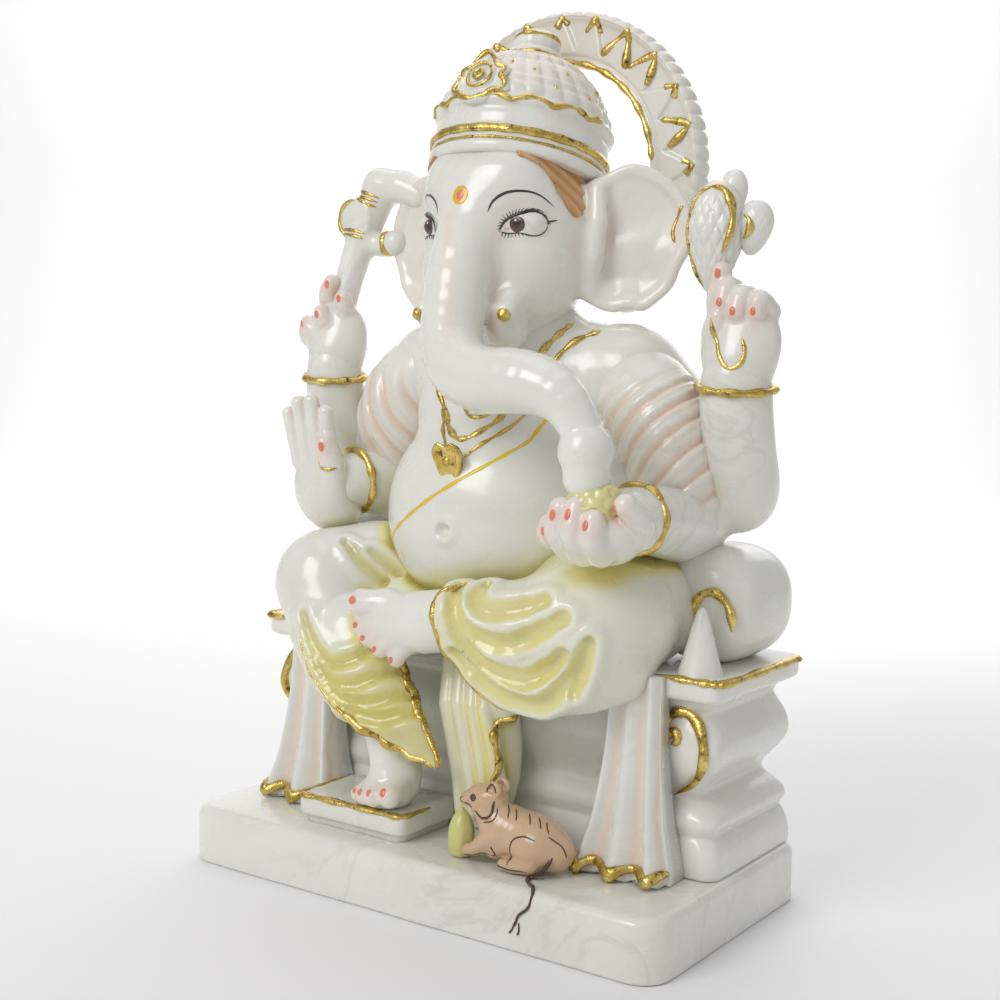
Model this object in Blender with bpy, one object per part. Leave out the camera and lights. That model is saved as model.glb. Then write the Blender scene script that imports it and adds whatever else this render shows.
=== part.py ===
"""Seated Ganesha, a 12 inch household murti carved from one block of white marble, then painted and gilded.

The carver leaves no joints, so the block is divided here along the edges where one carved form meets the
next: each form is its own solid, and a form that is listed later gives way to those listed before it, with a
hairline clearance. Sizes are millimetres, turned into metres when a mesh is made. +Z is up, the figure faces
-Y, and the origin is the middle of the plinth's underside. Left and right are the figure's own, so left is +X.
"""

import math

import bmesh
import bpy
from mathutils import Matrix, Vector
from mathutils.bvhtree import BVHTree

MM = 0.001
CLEARANCE = 0.3
SMOOTH_BELOW = math.radians(40)
DOME_REACH, DOME_SHARE = 0.8, 0.5

# Plinth, throne and footstool
PLINTH_W, PLINTH_D, PLINTH_H = 190, 104, 20
PLINTH_CORNER, PLINTH_EDGE = 10, 3
BACK_SETBACK = 3
THRONE_W, THRONE_D, THRONE_H = 185, 60, 56
THRONE_CORNER = 4
SLAB_W, SLAB_D, SLAB_T = 186, 63, 7.7
SLAB_EDGE = 1
TRIM_R = 1.6
FOOTSTOOL_W, FOOTSTOOL_D, FOOTSTOOL_H = 46, 31, 9.7
FOOTSTOOL_X = -28.5
FOOTSTOOL_EDGE = 1.2

# Levels and planes that the pieces share
PLINTH_TOP = PLINTH_H + CLEARANCE
THRONE_TOP = PLINTH_TOP + THRONE_H
SEAT = THRONE_TOP + CLEARANCE + SLAB_T
BACK = PLINTH_D / 2 - BACK_SETBACK
THRONE_FRONT = BACK - THRONE_D
SLAB_FRONT = BACK - SLAB_D
FOOTSTOOL_TOP = PLINTH_TOP + FOOTSTOOL_H

# Bolsters, their end tassels, hanging cloths and scrolls, each given for the left and mirrored for the right
BOLSTER_X, BOLSTER_R, BOLSTER_L = 74, 19.5, 52
TASSEL_X, TASSEL_R, TASSEL_H = 82.5, 7, 21
FALL_X, FALL_TOP_W, FALL_HEM_W = 66, 18, 34
FALL_TOP_T, FALL_HEM_T = 7, 16
SCROLL_X, SCROLL_R, SCROLL_WIRE = 80, 8, 1.7

# Figure: heights above the seat
TORSO_H = 120
BELLY_W, BELLY_D = 84, 74
SHOULDER_X, SHOULDER_Y, SHOULDER_Z, SHOULDER_R = 46, 21, 87, 16
SHAWL_WRAP = 1.5
WRIST_R = 10.2
BANGLE_R = 1.7
HEAD_Z, HEAD_H, HEAD_W, HEAD_D = 103, 62, 54, 56
HEAD_Y = 4
EAR_LEAN, EAR_T = 18, 5
CROWN_R = HEAD_W * 17 / 30
CROWN_TILT, CROWN_H = 13, 38
CROWN_Y = 7.5
KNOB_R, KNOB_H = 8, 11
HALO_R, HALO_BAND, HALO_T = 56, 19, 10
HALO_Y = 36.5
HALO_DIP = 62

HEAD_TOP = SEAT + HEAD_Z + HEAD_H
CROWN_Z = HEAD_TOP - 4
HALO_Z = HEAD_TOP - 3.4

# Mouse, standing on the plinth in front of the throne
MOUSE_X, MOUSE_Y, MOUSE_R = 34, -33, 9.5


def seat(x, y, z):
    """A point given by its height above the seat."""
    return (x, y, SEAT + z)


def ground(x, y, z):
    """A point given by its height above the plinth."""
    return (x, y, PLINTH_TOP + z)


# Scene, collections and materials

for old in list(bpy.data.objects):
    bpy.data.objects.remove(old, do_unlink=True)

IDOL = bpy.data.collections.new("ganesha_idol")
CUTTERS = bpy.data.collections.new("cutters")
bpy.context.scene.collection.children.link(IDOL)
bpy.context.scene.collection.children.link(CUTTERS)


def material(name, colour, roughness, metallic=0.0):
    made = bpy.data.materials.new(name)
    made.use_nodes = True
    shader = made.node_tree.nodes["Principled BSDF"]
    shader.inputs["Base Color"].default_value = (*colour, 1)
    shader.inputs["Roughness"].default_value = roughness
    shader.inputs["Metallic"].default_value = metallic
    made.diffuse_color = (*colour, 1)
    return made


MARBLE = material("white_marble", (0.84, 0.83, 0.78), 0.22)
PEACH = material("peach_wash_marble", (0.86, 0.68, 0.56), 0.3)
YELLOW = material("yellow_wash_marble", (0.80, 0.76, 0.42), 0.3)
GILDING = material("gold_leaf", (0.66, 0.47, 0.11), 0.28, 1.0)
HAIR = material("hair_paint", (0.70, 0.36, 0.15), 0.4)
MOUSE_COAT = material("mouse_paint", (0.74, 0.47, 0.29), 0.4)
SWEET = material("sweet_paint", (0.82, 0.74, 0.28), 0.4)


# Shapes


def solid(name, shape, coat):
    """The bmesh, in millimetres, as an object of the idol."""
    bmesh.ops.triangulate(shape, faces=shape.faces)
    bmesh.ops.recalc_face_normals(shape, faces=shape.faces)
    bmesh.ops.scale(shape, vec=(MM, MM, MM), verts=shape.verts)
    mesh = bpy.data.meshes.new(name)
    shape.to_mesh(mesh)
    shape.free()
    mesh.shade_smooth()
    mesh.set_sharp_from_angle(angle=SMOOTH_BELOW)
    mesh.materials.append(coat)
    made = bpy.data.objects.new(name, mesh)
    IDOL.objects.link(made)
    return made


def block(name, low, high, coat, edge=0.0):
    """A box between two corners, its edges rounded."""
    shape = bmesh.new()
    bmesh.ops.create_cube(shape, size=1)
    size = Vector(high) - Vector(low)
    middle = (Vector(high) + Vector(low)) / 2
    placed = Matrix.Translation(middle) @ Matrix.Diagonal((*size, 1))
    bmesh.ops.transform(shape, matrix=placed, verts=shape.verts)
    if edge:
        bmesh.ops.bevel(shape, geom=shape.edges[:], offset=edge, segments=2, profile=0.5, affect="EDGES")
    return solid(name, shape, coat)


def egg(name, centre, radii, coat, segments=12, rings=8):
    """An ellipsoid."""
    shape = bmesh.new()
    bmesh.ops.create_uvsphere(shape, u_segments=segments, v_segments=rings, radius=1)
    placed = Matrix.Translation(centre) @ Matrix.Diagonal((*radii, 1))
    bmesh.ops.transform(shape, matrix=placed, verts=shape.verts)
    return solid(name, shape, coat)


def loft(name, outlines, coat):
    """A closed skin over outlines that have the same number of points, with a flat face at each end."""
    shape = bmesh.new()
    rows = [[shape.verts.new(point) for point in outline] for outline in outlines]
    sides = len(rows[0])
    for below, above in zip(rows, rows[1:]):
        for i in range(sides):
            after = (i + 1) % sides
            shape.faces.new((below[i], below[after], above[after], above[i]))
    shape.faces.new(rows[0])
    shape.faces.new(rows[-1])
    return solid(name, shape, coat)


def ellipse(x, y, z, half_x, half_y, sides=16):
    """A level outline."""
    turns = [2 * math.pi * i / sides for i in range(sides)]
    return [(x + half_x * math.cos(a), y + half_y * math.sin(a), z) for a in turns]


def rounded_rectangle(x, front, back, z, half_x, corner):
    """A level outline with each corner cut by three points of its arc."""
    centres = ((1, 1, 0), (-1, 1, 90), (-1, -1, 180), (1, -1, 270))
    points = []
    for side, end, start in centres:
        middle_x = x + side * (half_x - corner)
        middle_y = back - corner if end > 0 else front + corner
        for turn in (0, 45, 90):
            angle = math.radians(start + turn)
            across, along = corner * math.cos(angle), corner * math.sin(angle)
            points.append((middle_x + across, middle_y + along, z))
    return points


def curve_mesh(name, data, coat, placed=Matrix()):
    """The curve, made a mesh with its caps welded, as an object of the idol."""
    guide = bpy.data.objects.new(name + "_guide", data)
    CUTTERS.objects.link(guide)
    bpy.context.view_layer.update()
    mesh = bpy.data.meshes.new_from_object(guide.evaluated_get(bpy.context.evaluated_depsgraph_get()))
    bpy.data.objects.remove(guide, do_unlink=True)
    shape = bmesh.new()
    shape.from_mesh(mesh)
    bpy.data.meshes.remove(mesh)
    bmesh.ops.remove_doubles(shape, verts=shape.verts, dist=1e-4)
    bmesh.ops.transform(shape, matrix=placed, verts=shape.verts)
    return solid(name, shape, coat)


def limb(name, stations, coat, thickness=3, steps=2, round_ends=True):
    """A tube through stations (point, radius) that swells and tapers between them, with domed or flat ends."""
    stations = [(Vector(point), radius) for point, radius in stations]
    if round_ends:
        for end, inner in ((0, 1), (-1, -2)):
            point, radius = stations[end]
            outward = (point - stations[inner][0]).normalized()
            tip = (point + outward * radius * DOME_REACH, radius * DOME_SHARE)
            stations = [tip] + stations if end == 0 else stations + [tip]
    data = bpy.data.curves.new(name, "CURVE")
    data.dimensions = "3D"
    data.bevel_depth = 1
    data.bevel_resolution = thickness
    data.resolution_u = steps
    data.use_fill_caps = True
    line = data.splines.new("BEZIER")
    line.bezier_points.add(len(stations) - 1)
    line.radius_interpolation = "CARDINAL"
    for knot, (point, radius) in zip(line.bezier_points, stations):
        knot.co = point
        knot.radius = radius
        knot.handle_left_type = "AUTO"
        knot.handle_right_type = "AUTO"
    return curve_mesh(name, data, coat)


def plate(name, outline, thickness, coat, placed, smooth=True, steps=3):
    """A flat piece from an outline (across, up), standing upright in its own XZ plane before it is placed."""
    data = bpy.data.curves.new(name, "CURVE")
    data.dimensions = "2D"
    data.fill_mode = "BOTH"
    data.extrude = thickness / 2
    data.resolution_u = steps
    line = data.splines.new("BEZIER" if smooth else "POLY")
    knots = line.bezier_points if smooth else line.points
    knots.add(len(outline) - 1)
    for knot, (across, up) in zip(knots, outline):
        knot.co = (across, up, 0) if smooth else (across, up, 0, 1)
        if smooth:
            knot.handle_left_type = "AUTO"
            knot.handle_right_type = "AUTO"
    line.use_cyclic_u = True
    return curve_mesh(name, data, coat, placed @ Matrix.Rotation(math.radians(90), 4, "X"))


def turned(name, profile, coat, placed, sides=24):
    """A solid of revolution from a profile (radius, height) that runs from the axis down to the axis."""
    shape = bmesh.new()
    points = [shape.verts.new((radius, 0, height)) for radius, height in profile]
    edges = [shape.edges.new(pair) for pair in zip(points, points[1:])]
    bmesh.ops.spin(
        shape,
        geom=points + edges,
        cent=(0, 0, 0),
        axis=(0, 0, 1),
        angle=2 * math.pi,
        steps=sides,
        use_merge=True,
    )
    bmesh.ops.remove_doubles(shape, verts=shape.verts, dist=1e-4)
    bmesh.ops.transform(shape, matrix=placed, verts=shape.verts)
    return solid(name, shape, coat)


def ring(name, centre, across, radius, wire, coat, sides=16):
    """A bangle or band: a torus whose hole runs along a direction."""
    turn = Vector((0, 0, 1)).rotation_difference(Vector(across)).to_matrix().to_4x4()
    bpy.ops.mesh.primitive_torus_add(
        major_radius=radius, minor_radius=wire, major_segments=sides, minor_segments=5
    )
    made = bpy.context.object
    shape = bmesh.new()
    shape.from_mesh(made.data)
    bpy.data.objects.remove(made, do_unlink=True)
    bmesh.ops.transform(shape, matrix=Matrix.Translation(centre) @ turn, verts=shape.verts)
    return solid(name, shape, coat)


def joined(name, pieces):
    """The union of pieces that overlap, as one body with the first piece's material."""
    whole = pieces[0]
    for other in pieces[1:]:
        union = whole.modifiers.new("join", "BOOLEAN")
        union.operation = "UNION"
        union.object = other
    bpy.context.view_layer.update()
    mesh = bpy.data.meshes.new_from_object(whole.evaluated_get(bpy.context.evaluated_depsgraph_get()))
    coat = whole.data.materials[0]
    for piece in pieces:
        bpy.data.objects.remove(piece, do_unlink=True)
    shape = bmesh.new()
    shape.from_mesh(mesh)
    bmesh.ops.scale(shape, vec=(1 / MM, 1 / MM, 1 / MM), verts=shape.verts)
    return solid(name, shape, coat)


# Torso: level ellipses from the seat to the neck, as (height share, y, half width, half depth)

TORSO = (
    (0.0, 10, BELLY_W * 0.40, BELLY_D * 0.32),
    (0.15, 6, BELLY_W * 0.49, BELLY_D * 0.45),
    (0.28, 4.5, BELLY_W * 0.5, BELLY_D * 0.49),
    (0.40, 4.5, BELLY_W * 0.5, BELLY_D * 0.5),
    (0.53, 7, BELLY_W * 0.48, BELLY_D * 0.45),
    (0.65, 12, BELLY_W * 0.47, BELLY_D * 0.37),
    (0.76, 17, SHOULDER_X, BELLY_D * 0.31),
    (0.86, 18, SHOULDER_X * 0.8, BELLY_D * 0.27),
    (0.94, 16, SHOULDER_X * 0.5, BELLY_D * 0.23),
    (1.0, 12, SHOULDER_X * 0.4, BELLY_D * 0.2),
)


def torso_front(x, z):
    """The y of the torso's front surface at x, and at z above the seat."""
    share = z / TORSO_H
    for low, high in zip(TORSO, TORSO[1:]):
        if low[0] <= share <= high[0]:
            part = (share - low[0]) / (high[0] - low[0])
            y, half_x, half_y = (low[i] + part * (high[i] - low[i]) for i in (1, 2, 3))
            return y - half_y * math.sqrt(max(0.0, 1 - (x / half_x) ** 2))
    raise ValueError(f"no torso at {z} mm above the seat")


def throne():
    # Height and inset of the plinth's outlines: its lower and upper edges are rounded by the same amount
    worn = PLINTH_EDGE * (1 - math.sqrt(0.5))
    rounding = (
        (0, PLINTH_EDGE), (worn, worn), (PLINTH_EDGE, 0),
        (PLINTH_H - PLINTH_EDGE, 0), (PLINTH_H - worn, worn), (PLINTH_H, PLINTH_EDGE),
    )
    plinth = loft(
        "plinth",
        [
            rounded_rectangle(
                0,
                inset - PLINTH_D / 2,
                PLINTH_D / 2 - inset,
                z,
                PLINTH_W / 2 - inset,
                PLINTH_CORNER - inset,
            )
            for z, inset in rounding
        ],
        MARBLE,
    )
    # Moulding of the throne's front and sides, as (height share, inset)
    moulding = (
        (0, 0), (0.13, 0.8), (0.21, 3), (0.31, 10), (0.37, 9.5), (0.46, 5.5),
        (0.58, 3), (0.72, 3.6), (0.84, 6.6), (0.93, 3), (1, 2),
    )
    body = loft(
        "throne_body",
        [
            rounded_rectangle(
                0,
                THRONE_FRONT + inset / 2,
                BACK,
                PLINTH_TOP + share * THRONE_H,
                THRONE_W / 2 - inset,
                THRONE_CORNER,
            )
            for share, inset in moulding
        ],
        MARBLE,
    )
    slab_low, slab_high = (-SLAB_W / 2, SLAB_FRONT, SEAT - SLAB_T), (SLAB_W / 2, BACK, SEAT)
    slab = block("seat_slab", slab_low, slab_high, MARBLE, SLAB_EDGE)
    stool = block(
        "footstool",
        (FOOTSTOOL_X - FOOTSTOOL_W / 2, THRONE_FRONT - CLEARANCE - FOOTSTOOL_D, PLINTH_TOP),
        (FOOTSTOOL_X + FOOTSTOOL_W / 2, THRONE_FRONT - CLEARANCE, FOOTSTOOL_TOP),
        MARBLE,
        FOOTSTOOL_EDGE,
    )
    return [plinth, body, slab, stool]


def legs():
    """The right leg hangs to the footstool and the left leg is folded over it, both under a wrapped dhoti."""
    right_knee = seat(-61, -20, 17)
    left_knee = seat(50, -20, 13)
    right_thigh = limb("thigh", [(seat(-26, 8, 19), 17), (right_knee, 18.5)], YELLOW, thickness=4)
    right_shin = limb(
        "shin",
        [(right_knee, 18.5), (seat(-45, -31, -10), 17.5), ((-22, -35, FOOTSTOOL_TOP + 25), 13)],
        YELLOW,
        thickness=4,
    )
    left_thigh = limb("thigh", [(seat(26, 10, 20), 18), (left_knee, 22)], YELLOW, thickness=4)
    left_shin = limb(
        "shin",
        [(left_knee, 19), (seat(32, -32, 12), 14.5), (seat(14, -36, 12.5), 10.5)],
        YELLOW,
        thickness=4,
    )
    hanging = joined("right_leg", [right_thigh, right_shin])
    folded = joined("left_leg", [left_thigh, left_shin])
    drape = limb(
        "left_leg_drape",
        [(seat(62, -20, -2), 9), (seat(44, -33, -4), 9.5), (seat(24, -36, -3), 8)],
        YELLOW,
    )
    right_foot = limb(
        "right_foot",
        [
            ((-20, -33, FOOTSTOOL_TOP + 24), 8), ((-17, -32, FOOTSTOOL_TOP + 12), 8),
            ((-17, -36, FOOTSTOOL_TOP + 6.5), 8), ((-19, -41, FOOTSTOOL_TOP + 4.5), 6.5),
        ],
        MARBLE,
    )
    left_foot = limb(
        "left_foot",
        [
            (seat(15, -37, 12.5), 9.2), (seat(2, -39, 12), 9.4),
            (seat(-10, -40, 10), 8.8), (seat(-17, -41, 10), 7.5),
        ],
        MARBLE,
    )
    cuff = ring("ankle_cuff", seat(13.5, -36, 12.5), (1, 0.1, 0), 11.4, 1.7, GILDING)
    hem = limb(
        "dhoti_hem",
        [
            ((-38, -43, FOOTSTOOL_TOP + 29), 1.6), ((-30, -46, FOOTSTOOL_TOP + 22), 1.6),
            ((-20, -47, FOOTSTOOL_TOP + 18.5), 1.6), ((-9, -44, FOOTSTOOL_TOP + 17), 1.6),
        ],
        GILDING,
        thickness=2,
        round_ends=False,
    )
    # The sash's loose end: (height above the plinth, x, half width, half thickness)
    folds = (
        (12, 18, 12, 6.4), (22, 17, 11.5, 8), (36, 12, 10.5, 9.6), (50, 7, 10, 9.6),
        (SEAT - PLINTH_TOP, 5, 9, 9.6),
    )
    outlines = [
        ellipse(x, THRONE_FRONT - 2 - half_t, PLINTH_TOP + z, half_w, half_t, 12)
        for z, x, half_w, half_t in folds
    ]
    sash = loft("sash", outlines, YELLOW)
    return [hanging, folded, drape, right_foot, left_foot, cuff, hem, sash]


def trunk_and_head():
    # (height share, half width share, half depth share, forward shift) from the jaw to the top of the skull
    levels = (
        (0, 0.22, 0.24, 2), (0.08, 0.33, 0.34, 1), (0.24, 0.42, 0.42, 0), (0.42, 0.48, 0.47, 0),
        (0.62, 0.5, 0.5, 0), (0.82, 0.5, 0.49, -2), (1, 0.44, 0.42, -3),
    )
    head = loft(
        "head",
        [
            ellipse(0, HEAD_Y - ahead, SEAT + HEAD_Z + up * HEAD_H, wide * HEAD_W, deep * HEAD_D)
            for up, wide, deep, ahead in levels
        ],
        MARBLE,
    )
    trunk = limb(
        "trunk",
        [
            (seat(0, -14, 138), 14), (seat(1, -24, 126), 12), (seat(3, -31, 112), 10.2),
            (seat(8, -37, 98), 10.4), (seat(22, -40.5, 90), 10.6), (seat(40, -41.5, 90), 10),
            (seat(54, -42, 86), 9), (seat(61, -42, 75), 7.6), (seat(62.5, -42, 68), 7.4),
            (seat(63, -42, 63.5), 6),
        ],
        MARBLE,
        thickness=4,
        round_ends=False,
    )
    tusks = [
        limb(
            f"{side}_tusk",
            [(seat(sign * 12, -12, 114), 4), (seat(sign * 15, -22, 110), 3.6)],
            MARBLE,
            thickness=2,
        )
        for side, sign in (("left", 1), ("right", -1))
    ]
    # Fan of the ear, as (out from the head, above its middle)
    fan = (
        (-6, -18), (6, -24), (22, -23), (30, -13), (35.5, 0), (35, 10), (28, 20), (16, 25), (5, 20), (-6, 12),
    )
    ears = []
    for side, sign in (("left", 1), ("right", -1)):
        hinge = Matrix.Translation(seat(sign * HEAD_W * 0.47, 9, HEAD_Z + HEAD_H * 0.53))
        lean = Matrix.Rotation(math.radians(sign * EAR_LEAN), 4, "Z")
        outline = [(sign * out, up) for out, up in fan]
        ears.append(plate(f"{side}_ear", outline, EAR_T, MARBLE, hinge @ lean))
    hair = [
        limb(
            f"{side}_hair",
            [
                (seat(sign * HEAD_W * 0.315, -17, 157), 4), (seat(sign * HEAD_W * 0.482, -11, 152), 5),
                (seat(sign * HEAD_W * 0.546, -2, 142), 4),
            ],
            HAIR,
            thickness=2,
        )
        for side, sign in (("left", 1), ("right", -1))
    ]
    return [head, trunk, *tusks, *ears, *hair]


def crown():
    tilt = Matrix.Rotation(math.radians(-CROWN_TILT), 4, "X")
    axis = Matrix.Translation((0, CROWN_Y, CROWN_Z)) @ tilt
    rise = (
        (0.94, -6), (1, -3), (1, 8), (0.97, 13), (0.91, 17), (0.82, 19), (0.79, 24), (0.66, 30),
        (0.45, CROWN_H - 2),
    )
    profile = [(0, -6)] + [(CROWN_R * share, z) for share, z in rise] + [(0, CROWN_H)]
    dome = turned("crown", profile, MARBLE, axis)
    knob_profile = [
        (0, CROWN_H - 4), (KNOB_R * 0.8, CROWN_H - 4), (KNOB_R, CROWN_H + 2), (KNOB_R, CROWN_H + KNOB_H - 4),
        (KNOB_R * 0.6, CROWN_H + KNOB_H - 1), (0, CROWN_H + KNOB_H),
    ]
    knob = turned("crown_knob", knob_profile, MARBLE, axis, sides=16)
    up = tilt @ Vector((0, 0, 1))
    band = ring("crown_band", axis @ Vector((0, 0, 2)), up, CROWN_R + 0.4, 2, GILDING, 24)
    fan = ((0, 0), (8, 1), (11.5, 8), (8, 14), (0, 20), (-8, 14), (-11.5, 8), (-8, 1))
    lean = Matrix.Rotation(math.radians(-18), 4, "X")
    crest = plate("crown_crest", fan, 5, GILDING, axis @ Matrix.Translation((0, -CROWN_R + 0.5, 10)) @ lean)
    return [dome, knob, band, crest]


def arch(radius, low, high, steps):
    """Points of an arc (across, up), its angles in degrees from the horizontal."""
    angles = [math.radians(low + (high - low) * i / steps) for i in range(steps + 1)]
    return [(radius * math.cos(a), radius * math.sin(a)) for a in angles]


def halo():
    place = Matrix.Translation((0, HALO_Y, HALO_Z))
    inner = HALO_R - HALO_BAND
    outline = arch(HALO_R, -HALO_DIP, 180 + HALO_DIP, 32) + arch(inner, 180 + HALO_DIP, -HALO_DIP, 28)
    ring_of_stone = plate("halo", outline, HALO_T, MARBLE, place, smooth=False)
    front = HALO_Y - HALO_T / 2
    path = arch(inner + TRIM_R + 0.4, 4, 176, 18)
    rounds = [((x, front, HALO_Z + z), TRIM_R) for x, z in path]
    rim = limb("halo_rim", rounds, GILDING, 2, steps=1, round_ends=False)
    return [ring_of_stone, rim]


def back_arm(side, sign, wrist_y, elbow_x, wrist_x):
    """An upper arm that comes down from the shoulder, and a forearm that rises from the elbow to a hand."""
    shoulder = seat(sign * SHOULDER_X, SHOULDER_Y, SHOULDER_Z)
    elbow = seat(sign * elbow_x, 28, 54)
    wrist = seat(sign * wrist_x, wrist_y, 83)
    upper = limb("upper", [(shoulder, SHOULDER_R), (elbow, 12)], MARBLE)
    fore = limb("fore", [(elbow, 12), (wrist, WRIST_R)], MARBLE)
    arm = joined(f"{side}_back_arm", [upper, fore])
    above = seat(sign * wrist_x, wrist_y, 86)
    bangle = ring(f"{side}_back_bangle", above, (0, -0.1, 1), WRIST_R + 1, BANGLE_R, GILDING)
    hand = egg(f"{side}_back_hand", seat(sign * wrist_x, wrist_y, 109), (12.3, 9.5, 17), MARBLE)
    return arm, bangle, hand


def front_arm(side, sign, elbow, wrist):
    """The upper arm shows below the shawl that is wrapped over it."""
    shoulder = seat(sign * SHOULDER_X, SHOULDER_Y - 3, SHOULDER_Z)
    below = seat(sign * (SHOULDER_X + 13), SHOULDER_Y - 6, 66)
    shawl = limb(
        f"{side}_shawl",
        [
            (shoulder, SHOULDER_R + SHAWL_WRAP), (seat(sign * 55, 16, 76), 15.5), (below, 14.5),
            (elbow, 12.5 + SHAWL_WRAP),
        ],
        PEACH,
        round_ends=False,
    )
    middle = tuple(0.55 * a + 0.45 * b for a, b in zip(elbow, wrist))
    past = tuple(b + 0.25 * (b - a) for a, b in zip(elbow, wrist))
    stations = [(elbow, 12.5), (middle, 11), (wrist, WRIST_R - 1), (past, WRIST_R - 1)]
    arm = limb(f"{side}_front_arm", stations, MARBLE)
    across = Vector(wrist) - Vector(elbow)
    bangle = ring(f"{side}_front_bangle", wrist, across, WRIST_R, BANGLE_R, GILDING)
    return shawl, arm, bangle


def arms():
    left_shawl, left_arm, left_bangle = front_arm("left", 1, seat(64, 20, 44), seat(67, -22, 49))
    right_shawl, right_arm, right_bangle = front_arm("right", -1, seat(-56, 24, 54), seat(-61, 0, 53))
    left_back = back_arm("left", 1, 12, 75, 82)
    right_back = back_arm("right", -1, 7, 68, 80)
    # Blessing hand from heel to fingertips: (height above the seat, x, y, half width, half thickness)
    palm = (
        (36, -67, -9, 8, 6), (42, -68, -10, 10.5, 7.5), (54, -70, -12, 11.5, 6.5),
        (64, -71.5, -13.5, 10.5, 5), (73, -73, -15, 10, 4), (78.5, -73.5, -16, 6.5, 3),
    )
    levels = [ellipse(x, y, SEAT + z, wide, thick, 12) for z, x, y, wide, thick in palm]
    blessing = loft("right_front_hand", levels, MARBLE)
    sweet = egg("laddu", seat(63, -41, 54.5), (8.6, 8.6, 8.2), SWEET)
    cupped = egg("left_front_hand", seat(63, -39, 46), (13.5, 11.5, 9.5), MARBLE)
    return [
        left_shawl, right_shawl, left_arm, right_arm, left_bangle, right_bangle, sweet, cupped, blessing,
        left_back[0], right_back[0], left_back[1], right_back[1], left_back[2], right_back[2],
    ]


def attributes():
    """The left back hand holds a lotus bud with a side bud, and the right back hand holds a goad."""
    bud = egg("lotus_bud", seat(71, 14, 138), (9.8, 8, 20), MARBLE)
    side_bud = egg("lotus_side_bud", seat(84, 20, 140), (6.8, 6.5, 13), MARBLE)
    grip = [(seat(-78, 9, 116), 5), (seat(-74, 15, 140), 5.6), (seat(-68, 18, 157), 6.5)]
    shaft = limb("shaft", grip, MARBLE, 2)
    blade = limb("blade", [(seat(-68, 18, 159), 6.5), (seat(-50, 18, 155), 5.5)], MARBLE, 2)
    branch = limb("branch", [(seat(-74, 15, 138), 4.2), (seat(-61, 17, 137), 4)], MARBLE, 2)
    return [bud, side_bud, joined("goad", [shaft, blade, branch])]


def ornaments():
    chain = ((30, 101), (25, 88), (14, 74), (0, 69), (-12, 75), (-20, 88), (-24, 101))
    necklace = limb(
        "necklace",
        [((x, torso_front(x, z) - 0.6, SEAT + z), 1.5) for x, z in chain],
        GILDING,
        thickness=1,
        steps=3,
        round_ends=False,
    )
    pendant = egg("pendant", seat(0, torso_front(0, 62) - 1.5, 62), (5.8, 3, 7.6), GILDING)
    return [pendant, necklace]


def throne_ornaments():
    made = []
    for side, sign in (("left", 1), ("right", -1)):
        made.append(
            limb(
                f"{side}_bolster",
                [
                    (seat(sign * BOLSTER_X, BACK - BOLSTER_L + 6, BOLSTER_R - 1), BOLSTER_R * 0.86),
                    (seat(sign * BOLSTER_X, BACK - BOLSTER_L / 2, BOLSTER_R - 1), BOLSTER_R),
                    (seat(sign * BOLSTER_X, BACK - 9, BOLSTER_R - 1), BOLSTER_R * 0.96),
                    (seat(sign * BOLSTER_X, BACK - 1, BOLSTER_R - 1), BOLSTER_R * 0.8),
                ],
                MARBLE,
                thickness=5,
                round_ends=False,
            )
        )
        cone = [
            (0, 0), (TASSEL_R, 0), (TASSEL_R * 0.62, TASSEL_H * 0.45), (TASSEL_R * 0.3, TASSEL_H * 0.85),
            (0, TASSEL_H),
        ]
        tassel_y = SLAB_FRONT + TASSEL_R + 1
        place = Matrix.Translation((sign * TASSEL_X, tassel_y, SEAT + CLEARANCE))
        made.append(turned(f"{side}_bolster_tassel", cone, MARBLE, place, sides=12))
        # Cloth that hangs from the slab: (height share, width share, thickness share) of the way to the hem
        flare = ((0, 1, 1), (0.06, 1, 0.95), (0.3, 0.45, 0.5), (0.65, 0.1, 0.12), (1, 0, 0))
        outlines = []
        for share, wide, thick in flare:
            half_w = (FALL_TOP_W + wide * (FALL_HEM_W - FALL_TOP_W)) / 2
            deep = FALL_TOP_T + thick * (FALL_HEM_T - FALL_TOP_T)
            z = PLINTH_TOP + share * (SEAT - PLINTH_TOP)
            front = SLAB_FRONT - deep
            outlines.append(rounded_rectangle(sign * FALL_X, front, SLAB_FRONT + 1, z, half_w, 2.5))
        made.append(loft(f"{side}_cloth_fall", outlines, PEACH))
        trim_y = SLAB_FRONT - TRIM_R / 3
        edge_x = sign * (SLAB_W / 2 + TRIM_R / 8)
        trim_z = SEAT - TRIM_R
        trim = [
            ((sign * (SLAB_W / 2 - 16), trim_y, trim_z), TRIM_R),
            ((sign * (SLAB_W / 2 - 2), trim_y, trim_z), TRIM_R),
            ((edge_x, SLAB_FRONT + 2, trim_z), TRIM_R),
            ((edge_x, BACK - 4, trim_z), TRIM_R),
        ]
        made.append(limb(f"{side}_slab_trim", trim, GILDING, 2, steps=2, round_ends=False))
        middle = PLINTH_TOP + THRONE_H * 0.7
        scroll = []
        for turn in (200, 140, 80, 20, -40, -90):
            out = SCROLL_X + SCROLL_R * math.cos(math.radians(turn))
            up = middle + 1.25 * SCROLL_R * math.sin(math.radians(turn))
            scroll.append(((sign * out, THRONE_FRONT, up), SCROLL_WIRE))
        made.append(limb(f"{side}_scroll", scroll, GILDING, 2, round_ends=False))
    return made


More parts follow.
